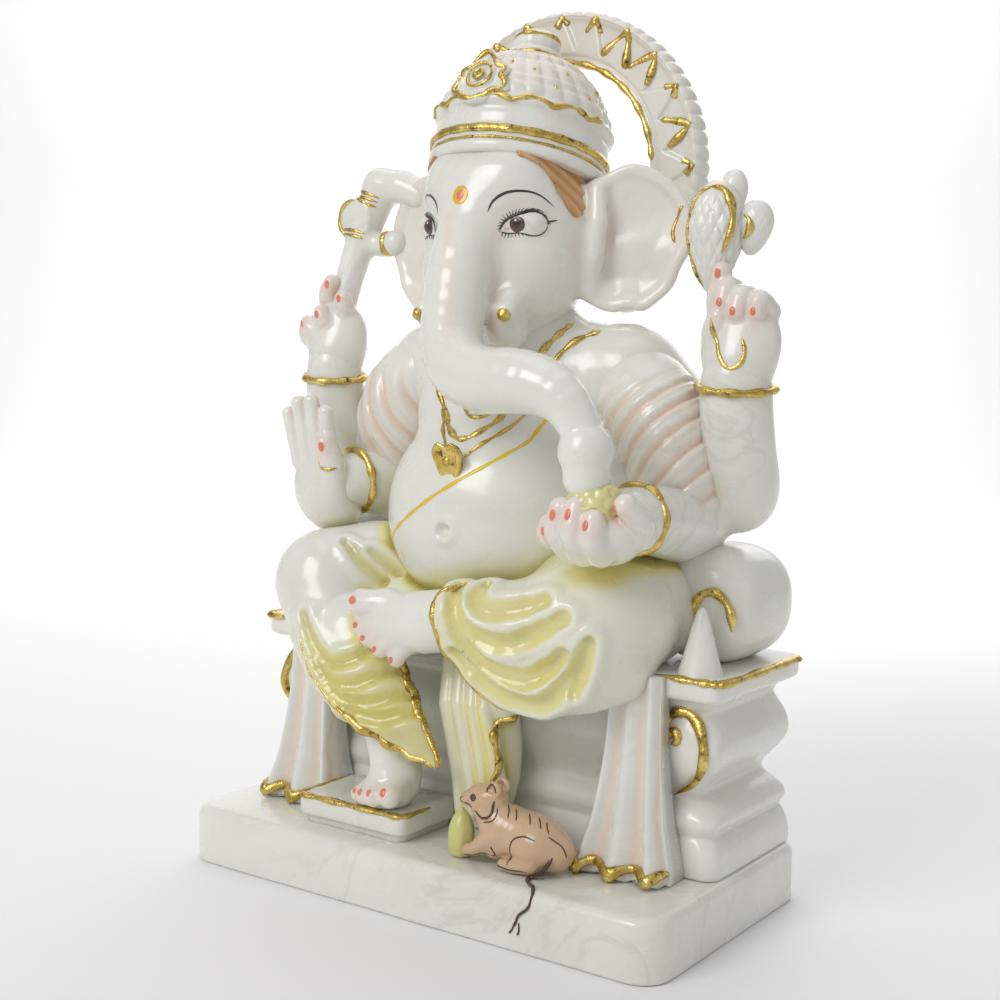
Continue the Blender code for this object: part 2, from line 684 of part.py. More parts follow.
def mouse():
    body = limb(
        "mouse",
        [
            (ground(MOUSE_X + 13, MOUSE_Y, 9), 8), (ground(MOUSE_X + 2, MOUSE_Y - 1, 10), MOUSE_R),
            (ground(MOUSE_X - 9, MOUSE_Y - 2, 15), 7.5), (ground(MOUSE_X - 15, MOUSE_Y - 3, 20), 5.2),
            (ground(MOUSE_X - 20, MOUSE_Y - 4, 18), 2.6),
        ],
        MOUSE_COAT,
    )
    sweet = limb(
        "mouse_sweet",
        [(ground(MOUSE_X - 20, MOUSE_Y - 4, 4), 5), (ground(MOUSE_X - 20, MOUSE_Y - 4, 10), 2.5)],
        SWEET,
        thickness=2,
    )
    return [body, sweet]


def grown(piece):
    """A copy of the piece, larger by the clearance all round, which cuts its neighbours."""
    cutter = bpy.data.objects.new(piece.name + "_cutter", piece.data.copy())
    CUTTERS.objects.link(cutter)
    cutter.hide_render = True
    cutter.display_type = "WIRE"
    swell = cutter.modifiers.new("clearance", "DISPLACE")
    swell.direction = "NORMAL"
    swell.mid_level = 0
    swell.strength = CLEARANCE * MM
    return cutter


def give_way(pieces):
    """Each piece is cut back from every piece before it that it touches."""
    cutters = [grown(piece) for piece in pieces]
    bpy.context.view_layer.update()
    graph = bpy.context.evaluated_depsgraph_get()
    skins = [BVHTree.FromObject(piece, graph) for piece in pieces]
    grown_skins = [BVHTree.FromObject(cutter, graph) for cutter in cutters]
    used = set()
    for later, piece in enumerate(pieces):
        for earlier in range(later):
            if skins[later].overlap(grown_skins[earlier]):
                cut = piece.modifiers.new("clear of " + pieces[earlier].name, "BOOLEAN")
                cut.operation = "DIFFERENCE"
                cut.object = cutters[earlier]
                used.add(earlier)
    for index, cutter in enumerate(cutters):
        if index not in used:
            bpy.data.objects.remove(cutter, do_unlink=True)


def torso():
    base = SEAT + CLEARANCE
    levels = [ellipse(0, y, base + share * TORSO_H, wide, deep) for share, y, wide, deep in TORSO]
    return loft("torso", levels, MARBLE)


CARVED_ORDER = [
    *throne(),
    torso(),
    *trunk_and_head(),
    *legs(),
    *arms(),
    *halo(),
    *crown(),
    *attributes(),
    *throne_ornaments(),
    *mouse(),
    *ornaments(),
]
give_way(CARVED_ORDER)
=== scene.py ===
"""Seated Ganesha: a household murti of white marble, carved, polished, washed with thin paint and gilded.

Lengths are in millimetres until a mesh is made. +Z is up, the figure faces -Y, and left and right are its
own. The block is one stone. Each form here is a closed skin that stands for the CAD solids named with it.
"""

import math

import bpy
import numpy as np
from mathutils import Matrix, Vector


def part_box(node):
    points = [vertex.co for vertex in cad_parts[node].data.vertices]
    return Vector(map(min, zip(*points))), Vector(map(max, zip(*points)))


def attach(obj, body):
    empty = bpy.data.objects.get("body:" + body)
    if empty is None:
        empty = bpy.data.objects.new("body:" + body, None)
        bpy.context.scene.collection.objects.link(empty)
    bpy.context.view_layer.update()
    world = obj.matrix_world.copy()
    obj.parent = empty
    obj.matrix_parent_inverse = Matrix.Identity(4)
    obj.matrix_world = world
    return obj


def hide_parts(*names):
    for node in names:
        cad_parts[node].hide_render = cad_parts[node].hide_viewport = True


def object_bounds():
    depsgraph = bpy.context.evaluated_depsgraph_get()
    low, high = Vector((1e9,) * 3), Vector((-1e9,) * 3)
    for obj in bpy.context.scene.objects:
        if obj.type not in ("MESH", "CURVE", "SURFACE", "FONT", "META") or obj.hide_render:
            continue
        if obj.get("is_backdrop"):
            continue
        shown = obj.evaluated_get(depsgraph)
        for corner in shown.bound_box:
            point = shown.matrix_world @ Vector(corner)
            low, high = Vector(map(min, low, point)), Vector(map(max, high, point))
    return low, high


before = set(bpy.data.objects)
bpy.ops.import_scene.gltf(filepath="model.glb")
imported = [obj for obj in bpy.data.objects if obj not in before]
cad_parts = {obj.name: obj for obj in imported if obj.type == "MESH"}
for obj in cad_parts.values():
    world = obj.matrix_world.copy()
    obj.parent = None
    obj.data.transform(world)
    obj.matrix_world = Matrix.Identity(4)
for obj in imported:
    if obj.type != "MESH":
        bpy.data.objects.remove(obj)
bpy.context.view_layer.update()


# -------------------------------------------------------------------------------------------------- Plinth
# The lowest step of the block: white marble with faint grey veins, sawn, ground and wax-polished, its edges
# rounded by hand. Everything above stands on it in the same stone.

MM = 0.001


def cad_box(node):
    """Lowest and highest corner of a CAD node, in millimetres."""
    low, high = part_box(node)
    return np.array(low) / MM, np.array(high) / MM


def skin(rings, wrap=False):
    """Closed skin over rings (rows x sides x 3): each ring joins the next, and the ends close on their
    middles, or the last ring joins the first. Faces are turned outwards by the sign of the volume they
    enclose."""
    rows, sides = rings.shape[:2]
    index = np.arange(rows * sides).reshape(rows, sides)
    if wrap:
        index = np.vstack([index, index[:1]])
    after = np.roll(index, -1, axis=1)
    quads = np.stack([index[:-1], after[:-1], after[1:], index[1:]], -1).reshape(-1, 4)
    points = rings.reshape(-1, 3)
    fans = np.zeros((0, 3), int)
    if not wrap:
        points = np.vstack([points, rings[0].mean(0), rings[-1].mean(0)])
        foot, head = np.full(sides, rows * sides), np.full(sides, rows * sides + 1)
        fans = np.vstack(
            [np.stack([after[0], index[0], foot], -1), np.stack([index[-1], after[-1], head], -1)],
        )
    a, b, c, d = (points[quads[:, n]] - points.mean(0) for n in range(4))
    volume = (a * (np.cross(b, c) + np.cross(c, d))).sum()
    if volume < 0:
        quads, fans = quads[:, ::-1], fans[:, ::-1]
    return points, quads.tolist() + fans.tolist()


def gathered(skins):
    """Several skins as one list of points and faces."""
    points, faces, start = [], [], 0
    for part_points, part_faces in skins:
        points.append(part_points)
        faces += [[start + i for i in face] for face in part_faces]
        start += len(part_points)
    return np.vstack(points), faces


def piece(name, shape, coat, nodes=()):
    """A finished piece at the origin, standing for its CAD nodes and taking the coat it is given."""
    points, faces = shape
    mesh = bpy.data.meshes.new(name)
    mesh.from_pydata(np.asarray(points, float) * MM, [], faces)
    mesh.validate()
    mesh.shade_smooth()
    mesh.materials.append(coat)
    # This colour attribute holds both paint and painted shade.
    wash_and_shade = mesh.attributes.new("wash_and_shade", "FLOAT_COLOR", "POINT")
    wash_and_shade.data.foreach_set("color", np.zeros(4 * len(mesh.vertices), np.float32))
    made = bpy.data.objects.new(name, mesh)
    bpy.context.scene.collection.objects.link(made)
    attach(made, "root")
    if nodes:
        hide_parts(*nodes)
    return made


def bend(knots, count):
    """A smooth line through knots: every stretch is the Catmull-Rom cubic of its ends and their
    neighbours."""
    knots = np.asarray(knots, float)
    padded = np.vstack([2 * knots[0] - knots[1], knots, 2 * knots[-1] - knots[-2]])
    t = np.linspace(0, len(knots) - 1, count)
    i = np.minimum(t.astype(int), len(knots) - 2)
    f = (t - i)[:, None]
    a, b, c, d = (padded[i + n] for n in range(4))
    return 0.5 * (2 * b + (c - a) * f + (2 * a - 5 * b + 4 * c - d) * f**2 + (3 * b - a - 3 * c + d) * f**3)


def rounded_outline(centre_x, half_x, front, back, corner, z, arc=8, straight=16):
    """A level outline: a rectangle whose corners are quarter circles, walked anticlockwise from its right
    side."""
    corners = ((1, back, 0), (-1, back, 90), (-1, front, 180), (1, front, 270))
    turned = []
    for side, y, start in corners:
        inward = -1 if y == back else 1
        a = np.radians(start + np.linspace(0, 90, arc))
        x = centre_x + side * (half_x - corner) + corner * np.cos(a)
        turned.append(np.stack([x, y + inward * corner + corner * np.sin(a), np.full(arc, z)], -1))
    walls = []
    for n in range(4):
        start, end = turned[n][-1], turned[(n + 1) % 4][0]
        share = np.linspace(0, 1, straight + 2)[1:-1, None]
        walls += [turned[n], start + share * (end - start)]
    return np.vstack(walls)


def effect_group(name, numbers, outputs):
    """An empty shader group with number inputs that have defaults, and the outputs named."""
    group = bpy.data.node_groups.new(name, "ShaderNodeTree")
    for label, value in numbers:
        made = group.interface.new_socket(label, in_out="INPUT", socket_type="NodeSocketFloat")
        made.default_value = value
    for label, kind in outputs:
        group.interface.new_socket(label, in_out="OUTPUT", socket_type="NodeSocket" + kind)
    return group, group.nodes.new("NodeGroupInput"), group.nodes.new("NodeGroupOutput")


def wire(tree, start, out, end, into):
    """A link from one node's output to another's input."""
    tree.links.new(start.outputs[out], end.inputs[into])


def sum_of(tree, kind, first, second=0.5, third=0.5):
    """A Math node; an argument is a number or a (node, output) pair."""
    node = tree.nodes.new("ShaderNodeMath")
    node.operation = kind
    for slot_index, value in enumerate((first, second, third)):
        if isinstance(value, tuple):
            wire(tree, value[0], value[1], node, slot_index)
        else:
            node.inputs[slot_index].default_value = value
    return node, "Value"


def spread(tree, value, low, high, to_low=0.0, to_high=1.0):
    """A value taken from one range to another, held at its ends."""
    node = tree.nodes.new("ShaderNodeMapRange")
    wire(tree, *value, node, "Value")
    for label, number in (("From Min", low), ("From Max", high), ("To Min", to_low), ("To Max", to_high)):
        node.inputs[label].default_value = number
    return node, "Result"


def mottle(tree, scale, detail=3.0, warp=0.0, rough=0.5):
    """Noise in the stone's own coordinates, with lumps 1/scale metres apart."""
    where = tree.nodes.new("ShaderNodeTexCoord")
    node = tree.nodes.new("ShaderNodeTexNoise")
    wire(tree, where, "Object", node, "Vector")
    node.inputs["Scale"].default_value = scale
    node.inputs["Detail"].default_value = detail
    node.inputs["Distortion"].default_value = warp
    node.inputs["Roughness"].default_value = rough
    return node, "Fac"


def mixed(tree, share, first, second):
    """A colour between two: the share is a (node, output) pair, and a colour is that or an RGB triple."""
    node = tree.nodes.new("ShaderNodeMix")
    node.data_type = "RGBA"
    wire(tree, *share, node, "Factor")
    for socket, value in ((6, first), (7, second)):
        if isinstance(value[0], float):
            node.inputs[socket].default_value = (*value, 1)
        else:
            wire(tree, value[0], value[1], node, socket)
    return node, 2


# Marble grain: cloudy tone, thin grey veins, and the slight waves and crystals that polishing leaves.
MARBLE_GRAIN, grain_in, grain_out = effect_group(
    "marble_grain",
    (("Vein", 0.25), ("Waves", 0.4)),
    outputs=(("Cloud", "Float"), ("Vein", "Float"), ("Gloss", "Float"), ("Height", "Float")),
)
cloud = spread(MARBLE_GRAIN, mottle(MARBLE_GRAIN, 26, 4, 0.6), 0.3, 0.7)
vein_noise = mottle(MARBLE_GRAIN, 14, 6, 1.8, 0.6)
off_vein = sum_of(MARBLE_GRAIN, "ABSOLUTE", sum_of(MARBLE_GRAIN, "SUBTRACT", vein_noise, 0.52))
vein_line = spread(MARBLE_GRAIN, off_vein, 0.0, 0.035, 1.0, 0.0)
vein_patch = spread(MARBLE_GRAIN, mottle(MARBLE_GRAIN, 8, 2), 0.48, 0.62)
vein_here = sum_of(MARBLE_GRAIN, "MULTIPLY", vein_line, vein_patch)
vein_shown = sum_of(MARBLE_GRAIN, "MULTIPLY", vein_here, (grain_in, "Vein"))
fine = mottle(MARBLE_GRAIN, 900, 2)
slow = mottle(MARBLE_GRAIN, 110, 2)
waves = sum_of(MARBLE_GRAIN, "MULTIPLY", slow, (grain_in, "Waves"))
height = sum_of(MARBLE_GRAIN, "MULTIPLY_ADD", fine, 0.05, waves)
wire(MARBLE_GRAIN, *cloud, grain_out, "Cloud")
wire(MARBLE_GRAIN, *vein_shown, grain_out, "Vein")
wire(
    MARBLE_GRAIN, *spread(MARBLE_GRAIN, mottle(MARBLE_GRAIN, 60, 5), 0.3, 0.7, 0.16, 0.34), grain_out,
    "Gloss",
)
wire(MARBLE_GRAIN, *height, grain_out, "Height")


def stone(name, light, shade, vein=0.25, waves=0.4, through=0.12):
    """Polished marble. Where a piece has been brushed, its colour attribute holds the paint and painted shade
    and how thick they lie."""
    made = bpy.data.materials.new(name)
    made.use_nodes = True
    tree = made.node_tree
    shader = tree.nodes["Principled BSDF"]
    grain = tree.nodes.new("ShaderNodeGroup")
    grain.node_tree = MARBLE_GRAIN
    grain.inputs["Vein"].default_value = vein
    grain.inputs["Waves"].default_value = waves
    body = mixed(tree, (grain, "Cloud"), light, shade)
    veined = mixed(tree, (grain, "Vein"), body, (0.40, 0.41, 0.38))
    paint = tree.nodes.new("ShaderNodeAttribute")
    paint.attribute_name = "wash_and_shade"
    washed_and_shaded = mixed(tree, (paint, "Alpha"), veined, (paint, "Color"))
    wire(tree, *washed_and_shaded, shader, "Base Color")
    wire(tree, grain, "Gloss", shader, "Roughness")
    shader.inputs["Subsurface Weight"].default_value = through
    shader.inputs["Subsurface Radius"].default_value = (1.0, 0.92, 0.7)
    shader.inputs["Subsurface Scale"].default_value = 0.004
    shader.inputs["Coat Weight"].default_value = 0.35
    shader.inputs["Coat Roughness"].default_value = 0.08
    bump = tree.nodes.new("ShaderNodeBump")
    bump.inputs["Strength"].default_value = 0.35
    bump.inputs["Distance"].default_value = 0.0006
    wire(tree, grain, "Height", bump, "Height")
    wire(tree, bump, "Normal", shader, "Normal")
    return made


WHITE_MARBLE = stone("white_marble", (0.84, 0.835, 0.79), (0.765, 0.76, 0.70))


def marble(name, shape, *nodes):
    """A piece of bare white marble."""
    return piece(name, shape, WHITE_MARBLE, nodes)


plinth_low, plinth_high = cad_box("plinth")
PLINTH_CORNER, PLINTH_TOP_EDGE, PLINTH_FOOT_EDGE = 10, 3.4, 1.2


def edge_steps(z_low, z_high, foot, top, steps=6):
    """Heights and insets of a slab whose foot and top edges are quarter rounds."""
    a = np.radians(np.linspace(0, 90, steps))
    below = [(z_low + foot * (1 - math.sin(t)), foot * (1 - math.cos(t))) for t in a[::-1]]
    above = [(z_high - top * (1 - math.sin(t)), top * (1 - math.cos(t))) for t in a]
    return below + above


def worn(rings, depth, pitch, seed=0.0):
    """The small waves of hand grinding: three crossed sines push each point along its way from the axis."""
    x, y, z = np.moveaxis(rings, -1, 0)
    k = 2 * math.pi / pitch
    wave = np.sin(k * x + 2.1 * seed) * np.cos(0.8 * k * y + seed) + np.sin(
        1.3 * k * z + 0.5 * k * x + seed,
    )
    out = rings - rings.mean(axis=1, keepdims=True)
    out[..., 2] = 0
    out /= np.linalg.norm(out, axis=-1, keepdims=True) + 1e-9
    return rings + depth * 0.5 * wave[..., None] * out


levels = edge_steps(plinth_low[2], plinth_high[2], PLINTH_FOOT_EDGE, PLINTH_TOP_EDGE)
plinth_rings = np.stack(
    [
        rounded_outline(
            0, plinth_high[0] - inset - 0.2, plinth_low[1] + inset + 0.2, plinth_high[1] - inset - 0.2,
            PLINTH_CORNER, z, arc=10, straight=40,
        )
        for z, inset in levels
    ],
)
marble("plinth_stone", skin(worn(plinth_rings, 0.25, 37)), "plinth")


# -------------------------------------------------------------------------------------------------- Throne
# A low stone seat. Its flat back and moulded front and sides were cut with a gouge, so the beads and hollows
# are soft and a little uneven. Nothing is fixed on: it grows out of the plinth.

throne_low, throne_high = cad_box("throne_body")
# (height share, inset) of the moulding
MOULDING = (
    (0, 0.2), (0.05, 0), (0.11, 0.4), (0.16, 1.3), (0.2, 2.6), (0.225, 3.6), (0.25, 3.0), (0.29, 2.0),
    (0.33, 2.6), (0.37, 5.0), (0.41, 8.6), (0.44, 9.8), (0.48, 9.2), (0.54, 6.6), (0.60, 3.8), (0.67, 2.0),
    (0.73, 1.8), (0.80, 3.0), (0.86, 5.2), (0.905, 6.6), (0.94, 6.2), (0.97, 4.6), (1.0, 3.2),
)
FRONT_SHARE = 0.5
profile = bend(MOULDING, 90)
throne_rings = np.stack(
    [
        rounded_outline(
            0, throne_high[0] - inset, throne_low[1] + FRONT_SHARE * inset, throne_high[1], 5 + 0.3 * inset,
            throne_low[2] + share * (throne_high[2] - throne_low[2]), arc=8, straight=40,
        )
        for share, inset in profile
    ],
)
marble("throne_stone", skin(worn(throne_rings, 0.35, 31, 1.7)), "throne_body")


# ----------------------------------------------------------------------------------------------- Seat slab
# The slab that the figure sits on, thicker than the moulding under it and rounded on every edge. Its front
# corners carry a line of gold leaf over a raised bead.

slab_low, slab_high = cad_box("seat_slab")
SEAT = slab_high[2]
GROUND = plinth_high[2] + 0.3


def seated(x, y, z):
    """A point given by its height above the seat."""
    return np.array((x, y, SEAT + z))


def seated_line(stations):
    """Stations (x, y, height above the seat, and any sizes) as an array in the row's frame."""
    made = np.array(stations, float)
    made[:, 2] += SEAT
    return made


slab_rings = np.stack(
    [
        rounded_outline(
            0, slab_high[0] - inset, slab_low[1] + inset, slab_high[1] - inset, 4, z, straight=40,
        )
        for z, inset in edge_steps(slab_low[2] - 0.2, slab_high[2], 2.4, 1.5)
    ]
)
marble("seat_slab_stone", skin(worn(slab_rings, 0.25, 29, 0.6)), "seat_slab")

# Leaf wear: where the leaf is whole, where it has worn to the brown size beneath, and its crinkles.
LEAF_WEAR, leaf_in, leaf_out = effect_group(
    "leaf_wear",
    (("Wear", 0.45),),
    outputs=(("Worn", "Float"), ("Tone", "Float"), ("Gloss", "Float"), ("Height", "Float")),
)
leaf_patch = mottle(LEAF_WEAR, 330, 6, 0.7, 0.65)
leaf_edge = sum_of(LEAF_WEAR, "SUBTRACT", 1.0, (leaf_in, "Wear"))
worn_by = sum_of(LEAF_WEAR, "SUBTRACT", leaf_patch, leaf_edge)
crinkle = mottle(LEAF_WEAR, 1300, 3, 0.4)
wire(LEAF_WEAR, *spread(LEAF_WEAR, worn_by, -0.02, 0.10), leaf_out, "Worn")
wire(LEAF_WEAR, *spread(LEAF_WEAR, mottle(LEAF_WEAR, 190, 3), 0.35, 0.65), leaf_out, "Tone")
wire(LEAF_WEAR, *spread(LEAF_WEAR, crinkle, 0.3, 0.7, 0.16, 0.42), leaf_out, "Gloss")
wire(LEAF_WEAR, *sum_of(LEAF_WEAR, "MULTIPLY_ADD", crinkle, 0.5, leaf_patch), leaf_out, "Height")


def leaf(name, bright, deep, size, wear):
    """Gold leaf on brown size: metal where it is whole, dark and duller where it is worn through."""
    made = bpy.data.materials.new(name)
    made.use_nodes = True
    tree = made.node_tree
    shader = tree.nodes["Principled BSDF"]
    state = tree.nodes.new("ShaderNodeGroup")
    state.node_tree = LEAF_WEAR
    state.inputs["Wear"].default_value = wear
    metal = mixed(tree, (state, "Tone"), bright, deep)
    wire(tree, *mixed(tree, (state, "Worn"), metal, size), shader, "Base Color")
    wire(tree, *spread(tree, (state, "Worn"), 0, 1, 1.0, 0.55), shader, "Metallic")
    wire(tree, state, "Gloss", shader, "Roughness")
    bump = tree.nodes.new("ShaderNodeBump")
    bump.inputs["Strength"].default_value = 0.55
    bump.inputs["Distance"].default_value = 0.0005
    wire(tree, state, "Height", bump, "Height")
    wire(tree, bump, "Normal", shader, "Normal")
    return made


SIDES = (("left", 1), ("right", -1))
GOLD_LEAF = leaf("gold_leaf", (0.83, 0.64, 0.22), (0.55, 0.38, 0.08), (0.10, 0.055, 0.012), 0.42)


def gilding(name, shape, *nodes):
    """A piece of gold leaf."""
    return piece(name, shape, GOLD_LEAF, nodes)


SWELL_PITCH = 9


def bead(path, outward, width, height, sides=8, taper=0.12, wobble=0.1, closed=False):
    """A raised line on a surface: an oval section carried along a path, its short axis the surface's outward
    direction. Its size narrows to nothing over the taper share at each end and swells a little along the
    way."""
    path, outward = np.asarray(path, float), np.asarray(outward, float)
    if outward.ndim == 1:
        outward = np.broadcast_to(outward, path.shape)
    if closed:
        along = np.roll(path, -1, 0) - np.roll(path, 1, 0)
    else:
        along = np.gradient(path, axis=0)
    along /= np.linalg.norm(along, axis=1, keepdims=True) + 1e-9
    side = np.cross(outward, along)
    side /= np.linalg.norm(side, axis=1, keepdims=True) + 1e-9
    rise = np.cross(along, side)
    count = len(path)
    share = np.arange(count) / (count - 1)
    stretch = np.linalg.norm(np.diff(path, axis=0), axis=1).sum()
    turns = max(1, round(stretch / SWELL_PITCH)) if closed else stretch / SWELL_PITCH
    size = 1 + wobble * np.sin(
        2 * math.pi * turns * np.arange(count) / (count - (0 if closed else 1)) + stretch,
    )
    if not closed:
        size = size * np.clip(np.minimum(share, 1 - share) / max(taper, 1e-6), 0.03, 1) ** 0.5
    a = 2 * math.pi * np.arange(sides) / sides
    across = (np.asarray(width) / 2 * size)[:, None, None] * np.cos(a)[None, :, None] * side[:, None]
    up = (np.asarray(height) * size)[:, None, None] * np.sin(a)[None, :, None] * rise[:, None]
    return skin(path[:, None] + across + up, wrap=closed)


for side, sign in SIDES:
    trim_low, trim_high = cad_box(f"{side}_slab_trim")
    outer = sign * (trim_high[0] if sign > 0 else -trim_low[0]) - sign * 1.6
    inner = trim_low[0] if sign > 0 else trim_high[0]
    front, back = slab_low[1] + 0.4, trim_high[1] - 1.6
    top = SEAT - 0.9
    turn = [
        (inner - sign * 6, front, top + 0.4), (outer - sign * 6, front, top),
        (outer - sign * 1.2, front + 1.6, top),
    ]
    run = [(outer, front + 6, top), (outer, back - 6, top + 0.2), (outer, back, top + 0.2)]
    path = np.vstack([bend(turn, 24), bend(run, 30)])
    gilding(
        f"{side}_slab_gilding", bead(path, (sign * 0.35, -0.4, 1.0), 3.0, 1.0, wobble=0.18),
        f"{side}_slab_trim",
    )


# ------------------------------------------------------------------------------------ Bolsters and tassels
# Two stone cushions lie on the slab from front to back. The front end of each has a cone-shaped tassel, and
# a raised arch of gold over it.

SQUARENESS = 2.3
TASSEL_LENGTH = 21.2


def swollen(centre, half, power, rows=48, sides=72):
    """A cushion along Y: the section is a rounded square |x|^p + |z|^p = 1, and its size along the length
    follows the same curve with the given power, so that the ends are full but round."""
    t = np.cos(np.linspace(math.pi, 0, rows + 2)[1:-1])
    size = (1 - np.abs(t) ** power) ** (1 / power)
    a = 2 * math.pi * np.arange(sides) / sides
    c, s = np.cos(a), np.sin(a)
    shape = (np.abs(c) ** SQUARENESS + np.abs(s) ** SQUARENESS) ** (-1 / SQUARENESS)
    rings = np.empty((rows, sides, 3))
    rings[..., 0] = centre[0] + half[0] * size[:, None] * (shape * c)[None]
    rings[..., 1] = centre[1] + half[1] * t[:, None]
    rings[..., 2] = centre[2] + half[2] * size[:, None] * (shape * s)[None]
    return rings


for side, sign in SIDES:
    low, high = cad_box(f"{side}_bolster")
    centre = np.array([(low[0] + high[0]) / 2, (low[1] + high[1]) / 2, SEAT + (high[2] - SEAT) / 2 - 0.3])
    half = (high - low) / 2
    half[2] = (high[2] - SEAT) / 2 + 0.5
    cushion = swollen(centre, half, 3.4)
    cushion[..., 2] = np.maximum(cushion[..., 2], SEAT - 0.2)
    marble(f"{side}_bolster_stone", skin(cushion), f"{side}_bolster")

    low, high = cad_box(f"{side}_bolster_tassel")
    x, y = (low[:2] + high[:2]) / 2
    turn = bend(
        ((7.4, -0.4), (7.0, 0.8), (5.6, 5.5), (4.0, 11.5), (2.7, 16.5), (1.5, 20), (0.4, TASSEL_LENGTH)), 30,
    )
    a = 2 * math.pi * np.arange(36) / 36
    cone = np.stack([x + turn[:, :1] * np.cos(a), y + turn[:, :1] * np.sin(a), np.zeros((30, 36))], -1)
    cone[..., 2] = SEAT + turn[:, 1:2] * (high[2] - low[2]) / TASSEL_LENGTH
    marble(f"{side}_tassel_stone", skin(cone), f"{side}_bolster_tassel")
    arch = bend(
        ((-7.2, 14.5), (-6.6, 19.5), (-3.6, 23.6), (0.8, 24.4), (4.6, 21.6), (6.6, 17.4), (6.9, 12.8)), 40,
    )
    path = np.stack([x + sign * (arch[:, 0] - 1.0), np.full(40, 3.1), SEAT + arch[:, 1]], -1)
    gilding(f"{side}_bolster_gilding", bead(path, (0, -1, 0), 3.0, 1.3, wobble=0.16))


# ------------------------------------------------------------------------------------------ Hanging cloths
# A stone cloth falls from the slab on each side of the legs. Its flutes are tinted with peach, it flares at
# the foot, and its scalloped hem is gilded.

PEACH = (0.80, 0.50, 0.34)
FLUTES = 3.5
CLOTH_HALF, CLOTH_FLARE, CLOTH_ROWS = 9, 7.6, 70


def brush(made, colour, amount):
    """A thin layer laid over what a piece already carries, with how thick it lies at each vertex: paint in some
    places, painted shade in others.
    """
    layer = made.data.attributes["wash_and_shade"].data
    held = np.empty(4 * len(made.data.vertices), np.float32)
    layer.foreach_get("color", held)
    held = held.reshape(-1, 4).astype(float)
    amount = np.clip(amount, 0, 1) * np.ones(len(held))
    under = held[:, 3] * (1 - amount)
    whole = under + amount
    held[:, :3] = (
        held[:, :3] * under[:, None] + np.array(colour) * amount[:, None]
    ) / np.maximum(whole, 1e-6)[:, None]
    held[:, 3] = whole
    layer.foreach_set("color", held.astype(np.float32).ravel())


def points_of(made):
    """A piece's vertices in millimetres."""
    co = np.empty(len(made.data.vertices) * 3, np.float32)
    made.data.vertices.foreach_get("co", co)
    return co.reshape(-1, 3).astype(float) / MM


for side, sign in SIDES:
    low, high = cad_box(f"{side}_cloth_fall")
    x_mid, foot, top = (low[0] + high[0]) / 2, low[2], SEAT - 0.5
    flare = bend(
        (
            (0, 1.0, 1.0), (0.05, 0.97, 0.92), (0.15, 0.76, 0.7), (0.3, 0.45, 0.45), (0.62, 0.12, 0.14),
            (1, 0, 0),
        ),
        CLOTH_ROWS,
    )
    across, around = 96, 40
    u = np.linspace(-1, 1, across)
    front_edge = np.empty((CLOTH_ROWS, across, 3))
    back_edge = np.empty((CLOTH_ROWS, around, 3))
    for row, (share, wide, thick) in enumerate(flare):
        half_w = CLOTH_HALF + wide * CLOTH_FLARE
        deep = 5.0 + thick * 8.0
        flute = (0.9 + 1.3 * wide) * np.cos(math.pi * FLUTES * u + 0.4 * sign)
        lift = 0.9 * np.abs(np.cos(math.pi * FLUTES * u)) if share < 0.04 else 0.0
        front_edge[row, :, 0] = x_mid + half_w * np.sin(0.5 * math.pi * u)
        front_edge[row, :, 1] = slab_low[1] - deep * np.sqrt(np.clip(1 - 0.75 * u**4, 0, 1)) - flute
        front_edge[row, :, 2] = foot + share * (top - foot) + lift
        back = np.linspace(1, -1, around)
        back_edge[row, :, 0] = x_mid + half_w * 0.98 * back
        back_edge[row, :, 1] = slab_low[1] + 2.6
        back_edge[row, :, 2] = foot + share * (top - foot)
    rings = np.concatenate([front_edge, back_edge], axis=1)
    cloth = piece(f"{side}_cloth_stone", skin(rings), WHITE_MARBLE, [f"{side}_cloth_fall"])
    where = points_of(cloth)
    spread_here = np.interp(where[:, 2], (foot, foot + 20, top), (1, 0.3, 0))
    u_here = np.clip((where[:, 0] - x_mid) / (CLOTH_HALF + CLOTH_FLARE * spread_here), -1, 1)
    valley = np.clip(
        -np.cos(math.pi * FLUTES * (2 / math.pi) * np.arcsin(u_here) + 0.4 * sign), 0, 1,
    ) ** 1.5
    fade = np.interp(where[:, 2], (foot + 2, foot + 12, foot + 40, top), (0.5, 0.75, 0.6, 0.35))
    brush(cloth, PEACH, 0.62 * valley * fade * (where[:, 1] < slab_low[1] + 1))
    hem = rings[4, 2 : across - 2].copy()
    dip = np.abs(np.sin(0.5 * math.pi * FLUTES * np.linspace(-1, 1, len(hem)) + 0.2 * sign))
    hem[:, 2] = foot + 2.0 + 2.4 * dip
    hem[:, 1] -= 0.4
    gilding(f"{side}_hem_gilding", bead(hem, (0, -1, 0.15), 4.4 - 1.6 * dip, 1.0, wobble=0.12))


# ------------------------------------------------------------------------------------------------- Scrolls
# A comma-shaped scroll on each side of the throne's front, carved in low relief and gilded: a coiled head and
# a tail that swells and then thins to a point.


def swell(count, shares, sizes):
    """A size for each point of a line, from a few that are given at shares of its length."""
    return np.interp(np.linspace(0, 1, count), shares, sizes)


